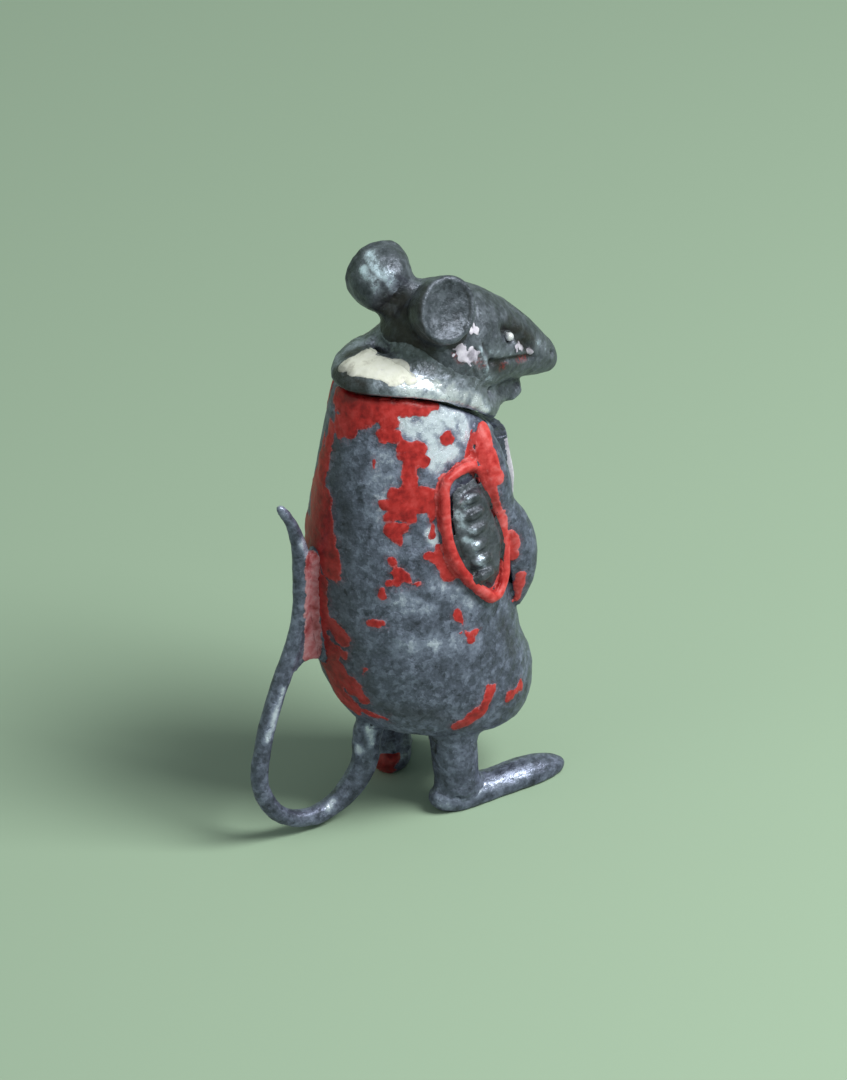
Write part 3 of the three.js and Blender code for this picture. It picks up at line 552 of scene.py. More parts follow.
coat = cast("coat", COAT_SKIN, COAT_ROUNDING)
coat.crumple(11)
red_under_collar = coat.lay(RED_UNDER_COLLAR)
red_on_side = coat.lay(RED_ON_SHOULDER + RED_ON_FLANK)
strokes = [*red_under_collar, *red_on_side, *coat.lay(RED_AT_HEM + RED_DOWN_BACK), *RED_BEHIND]
seen = painted(coat.points, strokes)
half_height = (COAT_HIGH - COAT_LOW)[2] / 2
at_collar = soft_step(coat.points[:, 2] - half_height, *COLLAR_BAND)
at_hem = soft_step(-coat.points[:, 2] - half_height, *HEM_BAND)
at_back = soft_step(-coat.points[:, 0], *BACK_BAND)
held = HELD_AT_COLLAR * at_collar + HELD_AT_HEM * at_hem + HELD_AT_BACK * at_back
unseen = coat.mottle(FAR_LEVEL, *FAR_PATCHES) + held
far_side = soft_step(coat.points[:, 1], *FAR_SIDE)
paint = seen + (unseen - seen) * far_side + coat.ragged(31)
# Painted highlights on the shoulder over rubbed metal, and paler patches of bare metal.
rub = touched(coat.points, coat.lay(BRIGHT_ON_COAT), COAT_BRIGHT)
rub = rub * coat.mottle(0.92, (0.40, 1.0, 33), (0.30, 0.5, 34))
rub = np.maximum(rub, touched(coat.points, coat.lay(PALE_ON_COAT), COAT_PALE))
# Painted shade down the back edge, along the hem and at the chest, deepening towards the back.
grime_and_shade = touched(coat.points, coat.lay(DARK_ON_COAT), COAT_DARK)
grime_and_shade = np.maximum(grime_and_shade, BACK_SHADE * soft_step(-coat.points[:, 0], *SHADED_BACK))
coat.wear(paint, rub, grime_and_shade, COAT_STAIN * soft_step(paint, *STAIN_EDGE))
coat.fit(red_enamel, "red_paint", "coat")

# Shirt front. A small plate let in between the edges of the coat and soldered at the chest; brushed white,
# and still mostly covered because the cuffs stand in front of it.

SHIRT_SKIN = 0.12
SHIRT_ROUNDING = 6
SHIRT_WORN = (9.8, 11.8)  # the paint thins out between these heights
SHIRT_PAINT = 0.55
SHIRT_LOSS = 1.5
SHIRT_TOP_DARKENING = 0.6
CREAM_DEEP = (0.60, 0.60, 0.50)
CREAM_BODY = (0.90, 0.93, 0.78)
CREAM_LIGHT = (0.97, 1.0, 0.88)
CREAM_SCUFFED = (0.56, 0.56, 0.60)
PALE_DARK = (0.075, 0.088, 0.100)
PALE_MIDDLE = (0.18, 0.205, 0.245)
PALE_LIGHT = (0.40, 0.45, 0.55)
# The brightest pale tone is rubbed metal and painted highlight.
PALE_RUB_AND_HIGHLIGHT = (0.86, 0.92, 1.0)
LILAC_DEEP = (0.38, 0.36, 0.43)
LILAC_BODY = (0.70, 0.68, 0.76)
LILAC_LIGHT = (0.90, 0.90, 0.95)
LILAC_SCUFFED = (0.40, 0.36, 0.42)

PALE_LEAD = (PALE_DARK, PALE_MIDDLE, PALE_LIGHT, PALE_RUB_AND_HIGHLIGHT)
CREAM = (CREAM_DEEP, CREAM_BODY, CREAM_LIGHT, CREAM_SCUFFED)
LILAC = (LILAC_DEEP, LILAC_BODY, LILAC_LIGHT, LILAC_SCUFFED)
lilac_enamel = worn_paint("worn_lilac_enamel", LEAD, LILAC)
cream_enamel = worn_paint("worn_cream_enamel", PALE_LEAD, CREAM)

shirt = cast("shirt_front", SHIRT_SKIN, SHIRT_ROUNDING)
shirt.crumple(41, share=0.35)
worn = soft_step(shirt.points[:, 2], *SHIRT_WORN)
paint = SHIRT_PAINT - SHIRT_LOSS * worn + shirt.ragged(42)
# The shirt is darkened towards the top, where its paint thins out.
shirt.wear(paint, grime_and_shade=SHIRT_TOP_DARKENING * worn)
shirt.fit(lilac_enamel, "white_paint", "shirt_front")

# Collar. A flaring ring cast on its own and dropped over the neck; cream-white enamel is left on the back
# of it and the rest is bare, in a paler metal than the coat, with painted highlights along the band and
# painted shade at its left end.

COLLAR_SKIN = 0.15
COLLAR_ROUNDING = 14
COLLAR_FAR_SIDE = (3.0, 5.0)
COLLAR_FAR_PATCHES = (1.0, 3.0, 52)
COLLAR_FAR_LEVEL = 0.1
COLLAR_BRIGHT = (1.0, -0.8, 0.4)
COLLAR_DARK = (1.0, -0.6, 0.4)
CREAM_ON_COLLAR = (
    (345, 366, 368, 352, 8),
    (365, 358, 400, 368, 10),
    (372, 372, 400, 378, 7.5),
    (400, 368, 412, 378, 6),
    (353, 369, 371, 369, 8),
)
# Painted highlights along the band.
BRIGHT_ON_COLLAR = (
    (408, 384, 450, 396, 11),
    (430, 392, 478, 408, 9),
    (455, 398, 486, 412, 7),
)
# Painted shade at the left end of the collar.
DARK_ON_COLLAR = (
    (336, 372, 343, 380, 10),
    (343, 382, 360, 390, 9),
    (348, 353, 362, 347, 6),
)

collar = cast("collar", COLLAR_SKIN, COLLAR_ROUNDING)
collar.crumple(51, share=0.6)
cream_strokes = collar.lay(CREAM_ON_COLLAR)
bright_strokes = collar.lay(BRIGHT_ON_COLLAR)
dark_strokes = collar.lay(DARK_ON_COLLAR)


def wear_collar(casting, seed, grime_and_shade):
    """The cream paint, the painted highlights and the painted shade of the collar, on it or on the solder at
    its edge.
    """
    points = casting.points
    seen = painted(points, cream_strokes)
    unseen = casting.mottle(COLLAR_FAR_LEVEL, COLLAR_FAR_PATCHES)
    far_side = soft_step(points[:, 1], *COLLAR_FAR_SIDE)
    paint = seen + (unseen - seen) * far_side + casting.ragged(seed, share=0.7)
    rub = touched(points, bright_strokes, COLLAR_BRIGHT)
    rub = rub * casting.mottle(0.85, (0.40, 0.9, 54), (0.35, 0.45, 55))
    painted_shade = touched(points, dark_strokes, COLLAR_DARK)
    casting.wear(paint, rub, np.maximum(painted_shade, grime_and_shade))


wear_collar(collar, 53, grime_and_shade=0.0)
collar.fit(cream_enamel, "white_paint", "collar")

# Head. Skull, snout and neck in one casting, with the neck pegged into the coat through the collar. The
# mouth, brows, nostrils and chin are cut into it, and it is bare apart from a few flecks of paint.

HEAD_SKIN = 0.16
HEAD_ROUNDING = 30
HEAD_TURN = np.radians(7)
HEAD_MIDDLE = np.array((5.23, 0.0, 23.17))
HEAD_LEFT = np.array((-np.sin(HEAD_TURN), np.cos(HEAD_TURN), 0.0))
MOUTH = ((494, 365), (504, 363), (510, 361), (524, 359), (535, 357))
BROW = ((507, 328), (514, 331), (523, 340), (531, 347))
EYE_PLACE = ((508, 334), (509, 335))
NOSTRIL = ((553, 352), (554, 353))
CHIN_HOOK = ((520, 392), (514, 398))
CHEEK_FOLDS = (
    ((478, 352), (484, 372), (490, 392)),
    ((470, 358), (478, 378), (486, 400)),
    ((486, 345), (492, 360), (494, 366)),
)
WHITE_ON_HEAD = (
    (457, 346, 464, 355, 5.8),
    (464, 354, 471, 357, 7.8),
    (472, 351, 476, 353, 5.2),
    (476, 329, 477, 330, 6.2),
    (520, 345, 533, 352, 3.6),
)
PALE_ON_HEAD = (
    (478, 356, 487, 374, 9),
    (487, 374, 491, 389, 7),
    (490, 353, 503, 354, 6),
    (534, 344, 547, 348, 5),
    (505, 356, 511, 355, 6),
    (480, 348, 482, 357, 4),
)
RED_ON_HEAD = (
    (457, 356, 462, 362, 4),
    (478, 362, 484, 368, 3),
    (520, 359, 526, 358, 3),
    (503, 369, 507, 368, 3),
)
# Painted shade and dirt between the ears, down the neck, under the brow, in the mouth, round the eye and
# beside the right ear.
DARK_ON_HEAD = (
    (392, 300, 398, 322, 16),
    (384, 322, 404, 342, 16),
    (404, 345, 425, 360, 10),
    (412, 355, 450, 385, 9),
    (512, 329, 529, 344, 8.5),
    (495, 366, 502, 363, 4),
    (504, 330, 511, 327, 4),
    (461, 325, 458, 343, 5),
)
FLECKS = (0.45, 0.42, 63)
HEAD_PALE = (0.38, -0.6, 0.6)
HEAD_STAIN = (0.55, -0.4, 0.4)
HEAD_SHADE_AND_DIRT = (1.0, -0.8, 0.3)
HEAD_DARK = (0.042, 0.047, 0.060)
HEAD_MIDDLE_TONE = (0.092, 0.105, 0.132)
HEAD_LIGHT = (0.19, 0.212, 0.26)
# The brightest head tone is rubbed metal and painted highlight.
HEAD_RUB_AND_HIGHLIGHT = (0.70, 0.84, 1.0)


def both_cheeks(path):
    """A path on the right of the head and the same one mirrored to the left."""
    path = np.array(path)
    aside = (path - HEAD_MIDDLE) @ HEAD_LEFT
    return path, path - 2 * aside[:, None] * HEAD_LEFT


def cut(casting, path, width, depth):
    """The height to add for a rounded groove along a path; a depth below 0 raises a ridge."""
    return -depth * np.exp(-((off_line(casting.points, path) / width) ** 2))


HEAD_LEAD = (HEAD_DARK, HEAD_MIDDLE_TONE, HEAD_LIGHT, HEAD_RUB_AND_HIGHLIGHT)
head_finish = worn_paint("bare_lead_head", HEAD_LEAD, LILAC)

head = cast("head", HEAD_SKIN, HEAD_ROUNDING)
relief = np.zeros(len(head.points))
# Each cut has its picks on the photo, its half width and its depth.
for picks, width, depth in (
    (MOUTH, 0.32, 0.36),
    (BROW, 0.50, 0.42),
    (EYE_PLACE, 1.0, 0.35),
    (NOSTRIL, 0.32, 0.30),
    (CHIN_HOOK, 0.5, -0.3),
    *((fold, 0.35, 0.28) for fold in CHEEK_FOLDS),
):
    for side in both_cheeks([head.spot(*pick) for pick in picks]):
        relief += cut(head, side, width, depth)
head.tool(relief)
head.crumple(61, share=1.1)
dark_on_head = head.lay(DARK_ON_HEAD)
paint = painted(head.points, head.lay(WHITE_ON_HEAD)) + head.ragged(62) + head.mottle(0.0, FLECKS)
rub = touched(head.points, head.lay(PALE_ON_HEAD), HEAD_PALE)
stain = touched(head.points, head.lay(RED_ON_HEAD), HEAD_STAIN)
# Painted shade and dirt from the dark strokes.
grime_and_shade = touched(head.points, dark_on_head, HEAD_SHADE_AND_DIRT)
head.wear(paint, rub, grime_and_shade, stain)
head.fit(head_finish, "bare_metal", "head")

# Ears. Two round dished discs with a rolled rim, each cast on a short root and pegged into the skull. They
# are bare, with painted shade and dirt at their roots, painted shade on the back of the right one and
# painted highlights on the left one.

EAR_SKIN = 0.12
EAR_ROUNDING = 12
EAR_POURS = 4
EAR_FILL = 0.7  # the share of the remaining hollow that each pour fills
EAR_HOLLOW_ROUNDS = 150
EAR_BRIGHT = (0.85, -0.7, 0.4)
EAR_SHADE_AND_DIRT = (0.9, -1.6, 0.2)
EAR_BACK_SHADE = 0.9
RIGHT_EAR_BACK = (0.2, 0.7)  # how far the surface faces backwards where painted shade starts and is full
# Painted highlights on the back of the left ear.
BRIGHT_ON_LEFT_EAR = (
    (367, 255, 376, 265, 4.5),
    (376, 265, 390, 280, 6),
    (390, 280, 398, 292, 5),
    (360, 270, 370, 282, 3.5),
    (370, 282, 380, 292, 3.5),
)

ears = []
for seed, node in enumerate(("right_ear", "left_ear")):
    ear = cast(node, EAR_SKIN, EAR_ROUNDING)
    for _ in range(EAR_POURS):
        ear.tool(EAR_FILL * np.clip(ear.hollow(EAR_HOLLOW_ROUNDS), 0, None))
    ear.crumple(71 + 10 * seed, share=0.9)
    rub = 0.0
    # Painted shade and dirt at the roots; painted shade on the back of the right ear; painted highlights on
    # the left ear.
    grime_and_shade = touched(ear.points, dark_on_head, EAR_SHADE_AND_DIRT)
    if node == "right_ear":
        grime_and_shade = np.maximum(grime_and_shade, EAR_BACK_SHADE * soft_step(-ear.normals[:, 0], *RIGHT_EAR_BACK))
    else:
        rub = touched(ear.points, ear.lay(BRIGHT_ON_LEFT_EAR), EAR_BRIGHT)
        rub = rub * ear.mottle(0.9, (0.5, 0.7, 73))
    ear.wear(rub=rub, grime_and_shade=grime_and_shade)
    ears.append(ear)
    ear.fit(head_finish, "bare_metal", node)

# Eyes. Steel pin heads pressed into holes in the skull, brighter than the casting round them. They carry no
# paint, only a haze and fine scratches.

EYE_SKIN = 0.07
EYE_ROUNDING = 4
EYE_DULL = (0.62, 0.65, 0.68)
EYE_CLEAN = (0.94, 0.96, 0.98)
EYE_METALLIC = 0.25
EYE_SCRATCH = 0.012
EYE_LIFT = (-0.15, 0.0, 0.35)  # the pin heads sit a little high in their holes

look = Finish("pin_steel")
haze = look.noise(size=0.5, detail=4)
scratch = look.noise(size=0.12, detail=3)
steel = look.ramp(haze, (0.38, EYE_DULL), (0.58, EYE_CLEAN))
gloss = look.span(haze, 0.3, 0.7, 0.36, 0.22)
eye_finish = look.done(steel, EYE_METALLIC, gloss, look.times(scratch, EYE_SCRATCH))

for node in ("right_eye", "left_eye"):
    eye = cast(node, EYE_SKIN, EYE_ROUNDING)
    eye.points = eye.points + EYE_LIFT
    eye.refresh()
    eye.fit(eye_finish, "eye_metal", node)

# Sleeves. Each is a short arm laid along the coat, opening at the shoulder into a tall leaf-shaped cuff with
# a raised rim. Pegged and soldered to the coat; red enamel is left on the rim and in patches on the arm.

SLEEVE_SKIN = 0.12
SLEEVE_ROUNDING = 10
RED_ON_SLEEVE = (
    (485, 428, 487, 445, 9),
    (478, 440, 488, 465, 9),
    (488, 450, 497, 478, 8.5),
    (474, 464, 448, 475, 8),
    (442, 478, 441, 505, 10),
    (441, 505, 444, 530, 10),
    (444, 530, 452, 555, 10.5),
    (452, 555, 467, 577, 11),
    (467, 577, 490, 596, 10.5),
    (490, 597, 498, 594, 11),
    (498, 594, 502, 570, 11),
    (502, 570, 502, 545, 10),
    (502, 545, 497, 520, 9.5),
    (497, 520, 488, 495, 9.5),
    (488, 495, 478, 475, 9.5),
    (511, 535, 516, 545, 7),
    (512, 550, 514, 556, 5.5),
    (523, 577, 519, 588, 6),
    (517, 590, 513, 602, 5),
)
SLEEVE_STAIN = 0.15
RIM_DEEP = (0.46, 0.020, 0.020)
RIM_BODY = (0.70, 0.068, 0.060)
RIM_LIGHT = (0.82, 0.18, 0.17)

rim_enamel = worn_paint("rubbed_red_enamel", LEAD, (RIM_DEEP, RIM_BODY, RIM_LIGHT, RED_SCUFFED))
sleeves = []
for seed, node in enumerate(("right_sleeve", "left_sleeve")):
    sleeve = cast(node, SLEEVE_SKIN, SLEEVE_ROUNDING)
    sleeve.crumple(91 + 10 * seed, share=0.2)
    if node == "right_sleeve":
        red_on_sleeve = sleeve.lay(RED_ON_SLEEVE)
    paint = painted(as_on_right(sleeve.points, node), red_on_sleeve)
    paint = paint + sleeve.ragged(94 + 10 * seed, share=0.6)
    sleeve.wear(paint, stain=SLEEVE_STAIN * soft_step(paint, *STAIN_EDGE))
    sleeves.append(sleeve)
    sleeve.fit(rim_enamel, "red_paint", node)

# Paws. A palm plate cast with a column of knuckles along its rear edge and soldered inside each cuff. It is
# bare and darkened all over, with painted highlights on the knuckles, which are also rubbed.

PAW_SKIN = 0.10
PAW_ROUNDING = 12
# The paw is darkened all over by this share.
PAW_DARKENING = 0.35
KNUCKLE_BRIGHT = (0.7, -0.5, 0.3)
# Painted highlights on the knuckles, which are also rubbed.
KNUCKLES = (
    (464, 493, 470, 497, 3),
    (460, 505, 468, 508, 3),
    (455, 514, 464, 520, 3),
    (462, 526, 470, 530, 3),
    (466, 541, 480, 545, 3),
    (475, 551, 484, 556, 3),
    (480, 563, 486, 566, 2.5),
)

paws = []
for seed, node in enumerate(("right_paw", "left_paw")):
    paw = cast(node, PAW_SKIN, PAW_ROUNDING)
    paw.crumple(121 + 10 * seed, share=1.2)
    if node == "right_paw":
        knuckles = paw.lay(KNUCKLES)
    rub = touched(as_on_right(paw.points, node), knuckles, KNUCKLE_BRIGHT)
    paw.wear(rub=rub, grime_and_shade=PAW_DARKENING)
    paws.append(paw)
    paw.fit(head_finish, "bare_metal", node)

# Legs. Round shafts cast on their own, pegged up into the coat and down into the feet; bare and dark. The
# right one has a nick near its top.

LEG_SKIN = 0.13
LEG_ROUNDING = 10
LEG_NICK = ((431, 745), (431, 752))
LEG_NICK_WIDTH = 0.4
LEG_NICK_DEPTH = 0.35

bare_lead = worn_paint("bare_lead", LEAD, RED)
legs = []
for seed, node in enumerate(("right_leg", "left_leg")):
    leg = cast(node, LEG_SKIN, LEG_ROUNDING)
    if node == "right_leg":
        leg.tool(cut(leg, [leg.spot(*pick) for pick in LEG_NICK], LEG_NICK_WIDTH, LEG_NICK_DEPTH))
    leg.crumple(141 + 10 * seed, share=0.8)
    leg.wear()
    legs.append(leg)
    leg.fit(bare_lead, "bare_metal", node)

# Feet. Long flat castings with a rounded heel and a thin toe, soldered under the legs. They are bare, with
# painted highlights along the right one, and red paint left on the far heel, darkened there with painted
# shade.

FOOT_SKIN = 0.13
FOOT_ROUNDING = 10
# Painted highlights along the top of the right foot.
BRIGHT_ON_FOOT = (
    (480, 790, 500, 780, 5),
    (500, 780, 530, 772, 4),
    (437, 800, 448, 806, 4),
)
FOOT_BRIGHT = (0.48, -0.6, 0.4)
# Painted shade over the red on the far heel, this strong, between these paint depths.
HEEL_SHADE = 0.6
HEEL_SHADE_EDGE = (-0.2, 0.2)
# The red on the far heel, in millimetres from the middle of the coat.
HEEL_PAINT = ((-4.0, 6.0, -24.2, -2.5, 7.5, -24.6, 3.20),)

feet = []
for seed, node in enumerate(("right_foot", "left_foot")):
    foot = cast(node, FOOT_SKIN, FOOT_ROUNDING)
    foot.crumple(161 + 10 * seed, share=0.8)
    if node == "right_foot":
        bright_on_foot = foot.lay(BRIGHT_ON_FOOT)
    rub = touched(foot.points, bright_on_foot, FOOT_BRIGHT)
    paint = painted(foot.points, HEEL_PAINT) + foot.ragged(165 + 10 * seed)
    foot.wear(paint, rub, HEEL_SHADE * soft_step(paint, *HEEL_SHADE_EDGE))
    feet.append(foot)
    foot.fit(bare_lead, "bare_metal", node)

# Tail. A thin rod bent into a loop, pegged under the back of the coat and soldered again higher up, with a
# thin web of metal between it and the coat that still holds faded pink paint.

TAIL_SKIN = 0.13
TAIL_ROUNDING = 8
PINK_ON_WEB = (
    (315, 560, 317, 600, 9),
    (317, 600, 313, 655, 10),
)
TAIL_TIP_FILL = 0.38  # how much the metal has thickened at the very tip
# Painted highlights along the tail and on the solder at its root.
BRIGHT_ON_TAIL = (
    (306, 542, 312, 552, 6),
    (313, 563, 318, 570, 4),
    (372, 728, 374, 744, 4),
    (286, 690, 270, 740, 3),
    (357, 749, 331, 807, 4),
)
TAIL_BRIGHT = (0.7, -0.4, 0.3)
PINK_DEEP = (0.30, 0.045, 0.048)
PINK_BODY = (0.50, 0.17, 0.18)
PINK_LIGHT = (0.62, 0.36, 0.37)
PINK_SCUFFED = (0.58, 0.42, 0.42)

faded_pink = worn_paint("faded_pink", LEAD, (PINK_DEEP, PINK_BODY, PINK_LIGHT, PINK_SCUFFED))
tail = cast("tail", TAIL_SKIN, TAIL_ROUNDING)
tip = tail.points[tail.points[:, 2].argmax()]
tail.tool(TAIL_TIP_FILL * np.exp(-(np.linalg.norm(tail.points - tip, axis=1) ** 2)))
tail.crumple(181, share=0.6)
pink_on_web = tail.lay(PINK_ON_WEB)
bright_on_tail = tail.lay(BRIGHT_ON_TAIL)
paint = painted(tail.points, pink_on_web) + tail.ragged(182, share=0.6)
rub = touched(tail.points, bright_on_tail, TAIL_BRIGHT)
tail.wear(paint, rub)
tail.fit(faded_pink, "bare_metal", "tail")

# Solder. Soft solder run into the gap between two castings, where it draws itself up into a hollow-faced
# fillet that hides the seam. Each run fills the space close to both skins.

SOLDER_GRAIN = 0.14
SOLDER_ROUNDING = 14
STEPS_TO_RADIUS = 11
SOLDER_SINK = 0.6  # in steps, like the three that follow
DOT_THIN = 1.05
DOT_THICK = 1.2
DOT_VOXEL = 0.7
GAP_REACH = 1.5  # in radii, like the next
CELL_REACH = 1.9
EAR_SOLDER_SHADE_AND_DIRT = (1.0, -1.6, 0.0)
TAIL_SOLDER_BRIGHT = (0.7, -0.5, 0.3)


def run_of_solder():
    """A node tree that turns points along a joint into one fused bead."""
    tree = bpy.data.node_groups.new("run_of_solder", "GeometryNodeTree")
    tree.interface.new_socket("Gap points", in_out="INPUT", socket_type="NodeSocketGeometry")
    for name in ("Thin", "Thick", "Voxel"):
        tree.interface.new_socket(name, in_out="INPUT", socket_type="NodeSocketFloat")
    tree.interface.new_socket("Seed", in_out="INPUT", socket_type="NodeSocketInt")
    tree.interface.new_socket("Finish", in_out="INPUT", socket_type="NodeSocketMaterial")
    tree.interface.new_socket("Bead", in_out="OUTPUT", socket_type="NodeSocketGeometry")
    given = tree.nodes.new("NodeGroupInput")
    result = tree.nodes.new("NodeGroupOutput")
    dots = tree.nodes.new("GeometryNodeMeshToPoints")
    width = tree.nodes.new("FunctionNodeRandomValue")
    body = tree.nodes.new("GeometryNodePointsToVolume")
    skin = tree.nodes.new("GeometryNodeVolumeToMesh")
    real = tree.nodes.new("GeometryNodeRealizeInstances")
    finish = tree.nodes.new("GeometryNodeSetMaterial")
    body.resolution_mode = "VOXEL_SIZE"
    skin.resolution_mode = "VOXEL_SIZE"
    for source, target in (
        (given.outputs["Gap points"], dots.inputs["Mesh"]),
        (given.outputs["Thin"], width.inputs[2]),
        (given.outputs["Thick"], width.inputs[3]),
        (given.outputs["Seed"], width.inputs["Seed"]),
        (dots.outputs["Points"], body.inputs["Points"]),
        (width.outputs[1], body.inputs["Radius"]),
        (given.outputs["Voxel"], body.inputs["Voxel Size"]),
        (body.outputs["Volume"], skin.inputs["Volume"]),
        (given.outputs["Voxel"], skin.inputs["Voxel Size"]),
        (skin.outputs["Mesh"], real.inputs["Geometry"]),
        (real.outputs["Geometry"], finish.inputs["Geometry"]),
        (given.outputs["Finish"], finish.inputs["Material"]),
        (finish.outputs["Geometry"], result.inputs["Bead"]),
    ):
        tree.links.new(source, target)
    return tree


def skin_of(casting):
    """A search tree over the points of a casting's skin."""
    tree = KDTree(len(casting.points))
    for place, point in enumerate(casting.points):
        tree.insert(point, place)
    tree.balance()
    return tree


def depth_outside(casting, tree, point):
    """How far a point lies outside a casting's skin; below 0 within the metal."""
    nearest, place, distance = tree.find(point)
    outward = (point - np.array(nearest)) @ casting.normals[place]
    return distance if outward > 0 else -distance


def fillet_points(one, other, radius, step):
    """A grid of points in the notch between two castings that a fillet of this radius fills."""
    trees = skin_of(one), skin_of(other)
    close = [point for point in one.points if trees[1].find(point)[2] < GAP_REACH * radius]
    cells = np.unique(np.floor(np.array(close) / radius).astype(int), axis=0)
    around = np.array(list(itertools.product((-1, 0, 1), repeat=3)))
    cells = np.unique((cells[:, None] + around).reshape(-1, 3), axis=0)
    steps = np.arange(0.5 * step, radius, step)
    grid = np.array(list(itertools.product(steps, repeat=3)))
    filled = []
    for cell in cells:
        middle = (cell + 0.5) * radius
        if max(tree.find(middle)[2] for tree in trees) > CELL_REACH * radius:
            continue
        for point in cell * radius + grid:
            off_one = depth_outside(one, trees[0], point)
            if not -step < off_one < radius:
                continue
            off_other = depth_outside(other, trees[1], point)
            if not -step < off_other < radius:
                continue
            if np.hypot(radius - off_one, radius - off_other) > radius:
                filled.append(point)
    return filled


def solder(name, one, other, seed, finish, radius):
    """Runs a fillet of solder into the notch between two castings."""
    step = max(SOLDER_GRAIN, radius / STEPS_TO_RADIUS)
    line = bpy.data.meshes.new(name)
    line.from_pydata(fillet_points(one, other, radius, step), [], [])
    carrier = bpy.data.objects.new(name, line)
    bpy.context.scene.collection.objects.link(carrier)
    run = carrier.modifiers.new("solder", "NODES")
    run.node_group = solder_tree
    inputs = {"Thin": DOT_THIN * step, "Thick": DOT_THICK * step, "Voxel": DOT_VOXEL * step}
    inputs.update({"Seed": seed, "Finish": finish})
    for item in solder_tree.interface.items_tree:
        if item.name in inputs:
            run[item.identifier] = inputs[item.name]
    ready = carrier.evaluated_get(bpy.context.evaluated_depsgraph_get())
    bead = bpy.data.meshes.new_from_object(ready)
    bpy.data.objects.remove(carrier)
    bead = Casting(name, bead, SOLDER_ROUNDING)
    bead.tool(np.full(len(bead.points), -SOLDER_SINK * step))
    return bead


solder_tree = run_of_solder()
for seed, (name, one, other) in enumerate((
    ("solder_right_hip", legs[0], coat),
    ("solder_left_hip", legs[1], coat),
    ("solder_right_ankle", legs[0], feet[0]),
    ("solder_left_ankle", legs[1], feet[1]),
)):
    bead = solder(name, one, other, seed, bare_lead, radius=1.0)
    bead.crumple(201 + 5 * seed, share=0.6)
    bead.wear()
    bead.fit(bare_lead, "bare_metal")

for seed, (name, ear) in enumerate((("solder_right_ear", ears[0]), ("solder_left_ear", ears[1]))):
    bead = solder(name, ear, head, 10 + seed, head_finish, radius=1.3)
    bead.crumple(221 + 5 * seed, share=0.6)
    # Painted shade and dirt from the head's dark strokes reach the ear solder.
    bead.wear(grime_and_shade=touched(bead.points, dark_on_head, EAR_SOLDER_SHADE_AND_DIRT))
    bead.fit(head_finish, "bare_metal")

bead = solder("solder_collar", head, collar, 14, cream_enamel, radius=1.6)
bead.crumple(236, share=0.6)
# The solder between collar and head gets painted shade as well.
wear_collar(bead, 237, grime_and_shade=0.3)
bead.fit(cream_enamel, "white_paint")

bead = solder("solder_neck", collar, coat, 16, red_enamel, radius=0.6)
bead.crumple(238, share=0.4)
paint = painted(bead.points, red_under_collar) + bead.ragged(239)
# The solder under the collar is darkened a little.
bead.wear(paint, grime_and_shade=0.1)
bead.fit(red_enamel, "red_paint")

bead = solder("solder_shirt", shirt, coat, 17, bare_lead, radius=0.8)
bead.crumple(240, share=0.4)
# The solder beside the shirt is darkened a little.
bead.wear(grime_and_shade=0.3)
bead.fit(bare_lead, "bare_metal")

bead = solder("solder_tail", tail, coat, 15, faded_pink, radius=0.8)
bead.crumple(241, share=0.6)
paint = painted(bead.points, pink_on_web) + bead.ragged(242, share=0.6)
# Painted highlights on the tail solder too.
bead.wear(paint, touched(bead.points, bright_on_tail, TAIL_SOLDER_BRIGHT))
bead.fit(faded_pink, "bare_metal")

for seed, (side, one) in enumerate((("right", sleeves[0]), ("left", sleeves[1]))):
    bead = solder(f"solder_{side}_arm", one, coat, 20 + seed, rim_enamel, radius=0.55)
    paint = painted(as_on_right(bead.points, side), red_on_sleeve + red_on_side)
    bead.crumple(251 + 5 * seed, share=0.3)
    # Painted shade on the solder beside the cuff rim.
    bead.wear(paint + bead.ragged(252 + 5 * seed), grime_and_shade=0.25)
    bead.fit(rim_enamel, "red_paint")

    bead = solder(f"solder_{side}_paw", paws[seed], one, 24 + seed, head_finish, radius=0.6)
    bead.crumple(261 + 5 * seed, share=0.5)
    # The solder deep inside the cuff is darkened strongly.
    bead.wear(grime_and_shade=0.7)
    bead.fit(head_finish, "bare_metal")

# Floor. A plain sheet of pale grey-green paper, much larger than the figure. It is that colour to the camera
# and in reflections, and a neutral pale grey for the light that it throws back.

FLOOR_SIZE = 3.0
PAPER = (0.420, 0.575, 0.405)
PAPER_BOUNCE = (0.45, 0.47, 0.45)


def only_seen(tree, seen, otherwise):
    """A colour for what the camera, reflections and clear materials see, and another for lighting."""
    rays = tree.nodes.new("ShaderNodeLightPath")
    looked_at = rays.outputs["Is Camera Ray"]
    for kind in ("Is Glossy Ray", "Is Transmission Ray"):
        either = tree.nodes.new("ShaderNodeMath")
        either.operation = "MAXIMUM"
        tree.links.new(looked_at, either.inputs[0])
        tree.links.new(rays.outputs[kind], either.inputs[1])
        looked_at = either.outputs[0]
    choice = tree.nodes.new("ShaderNodeMixRGB")
    choice.inputs["Color1"].default_value = (*otherwise, 1)
    choice.inputs["Color2"].default_value = (*seen, 1)
    tree.links.new(looked_at, choice.inputs["Fac"])
    return choice.outputs[0]


half = FLOOR_SIZE / 2
corners = [(-half, -half, 0), (half, -half, 0), (half, half, 0), (-half, half, 0)]
sheet = bpy.data.meshes.new("floor")
sheet.from_pydata(corners, [], [(0, 1, 2, 3)])
paper = bpy.data.materials.new("paper")
paper.use_nodes = True
matt = paper.node_tree.nodes["Principled BSDF"]
matt.inputs["Roughness"].default_value = 1.0
matt.inputs["Specular IOR Level"].default_value = 0.0
paper.node_tree.links.new(only_seen(paper.node_tree, PAPER, PAPER_BOUNCE), matt.inputs["Base Color"])
sheet.materials.append(paper)
floor = bpy.data.objects.new("floor", sheet)
bpy.context.scene.collection.objects.link(floor)

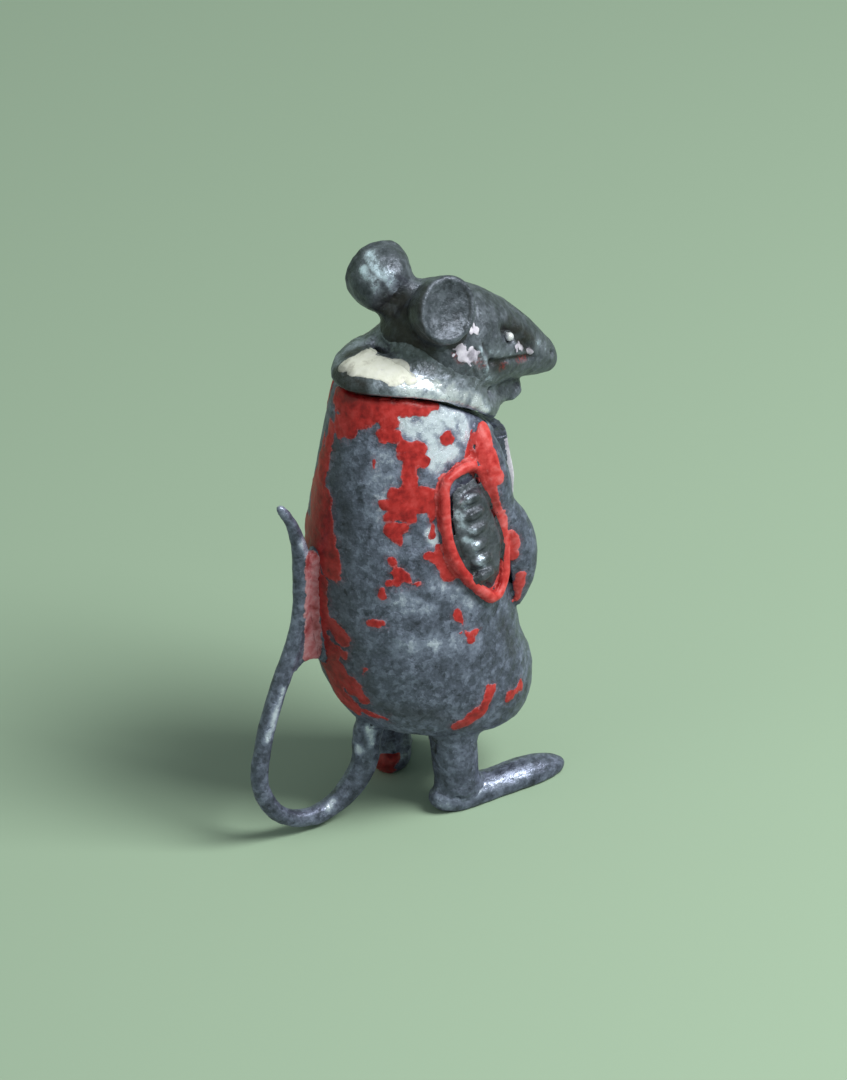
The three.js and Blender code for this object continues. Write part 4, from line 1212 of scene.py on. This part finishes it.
# Light. An even pale room, a large soft lamp above the camera's right shoulder and a weak one from the left.
# Both stand where the view of the photo puts them, and the shadow falls to the left.

ROOM = (0.20, 0.21, 0.23)
FRAME_MIDDLE = (4.48, 6.0, -2.93)  # what the camera looks at, from the middle of the coat
VIEW_TARGET = (COAT_MIDDLE + FRAME_MIDDLE) * MM
KEY = {"right": 0.58, "up": 0.52, "near": 0.62, "distance": 0.50, "size": 0.24, "watts": 2.5}
FILL = {"right": -0.70, "up": 0.30, "near": 0.60, "distance": 0.60, "size": 0.40, "watts": 0.15}

world = bpy.data.worlds.new("room")
bpy.context.scene.world = world
world.use_nodes = True
air = world.node_tree.nodes["Background"]
world.node_tree.links.new(only_seen(world.node_tree, PAPER, ROOM), air.inputs["Color"])

for name, lamp in (("key", KEY), ("fill", FILL)):
    light = bpy.data.lights.new(name, "AREA")
    light.size = lamp["size"]
    light.energy = lamp["watts"]
    bulb = bpy.data.objects.new(name, light)
    way = LEVEL_RIGHT * lamp["right"] + LEVEL_UP * lamp["up"] + TO_CAMERA * lamp["near"]
    way = Vector(way).normalized()
    place = Matrix.Translation(Vector(VIEW_TARGET) + way * lamp["distance"])
    bulb.matrix_world = place @ way.to_track_quat("Z", "Y").to_matrix().to_4x4()
    bpy.context.scene.collection.objects.link(bulb)

# Camera. A long lens far off, a little above the figure and behind its right shoulder, tilted slightly. Its
# frame is as tall as the photo is at ten pixels to a millimetre.

CAMERA_DISTANCE = 4.0
CAMERA_REACH = 10.0
FRAME_HEIGHT = 0.108
SENSOR = 36.0

camera = bpy.data.cameras.new("camera")
camera.sensor_width = SENSOR
camera.lens = SENSOR * CAMERA_DISTANCE / FRAME_HEIGHT
camera.clip_end = CAMERA_REACH
turned = Matrix((PHOTO_RIGHT, PHOTO_UP, TO_CAMERA)).transposed().to_4x4()
viewer = bpy.data.objects.new("camera", camera)
viewer.matrix_world = Matrix.Translation(VIEW_TARGET + TO_CAMERA * CAMERA_DISTANCE) @ turned
bpy.context.scene.collection.objects.link(viewer)
bpy.context.scene.camera = viewer
bpy.context.scene.view_settings.view_transform = "Standard"
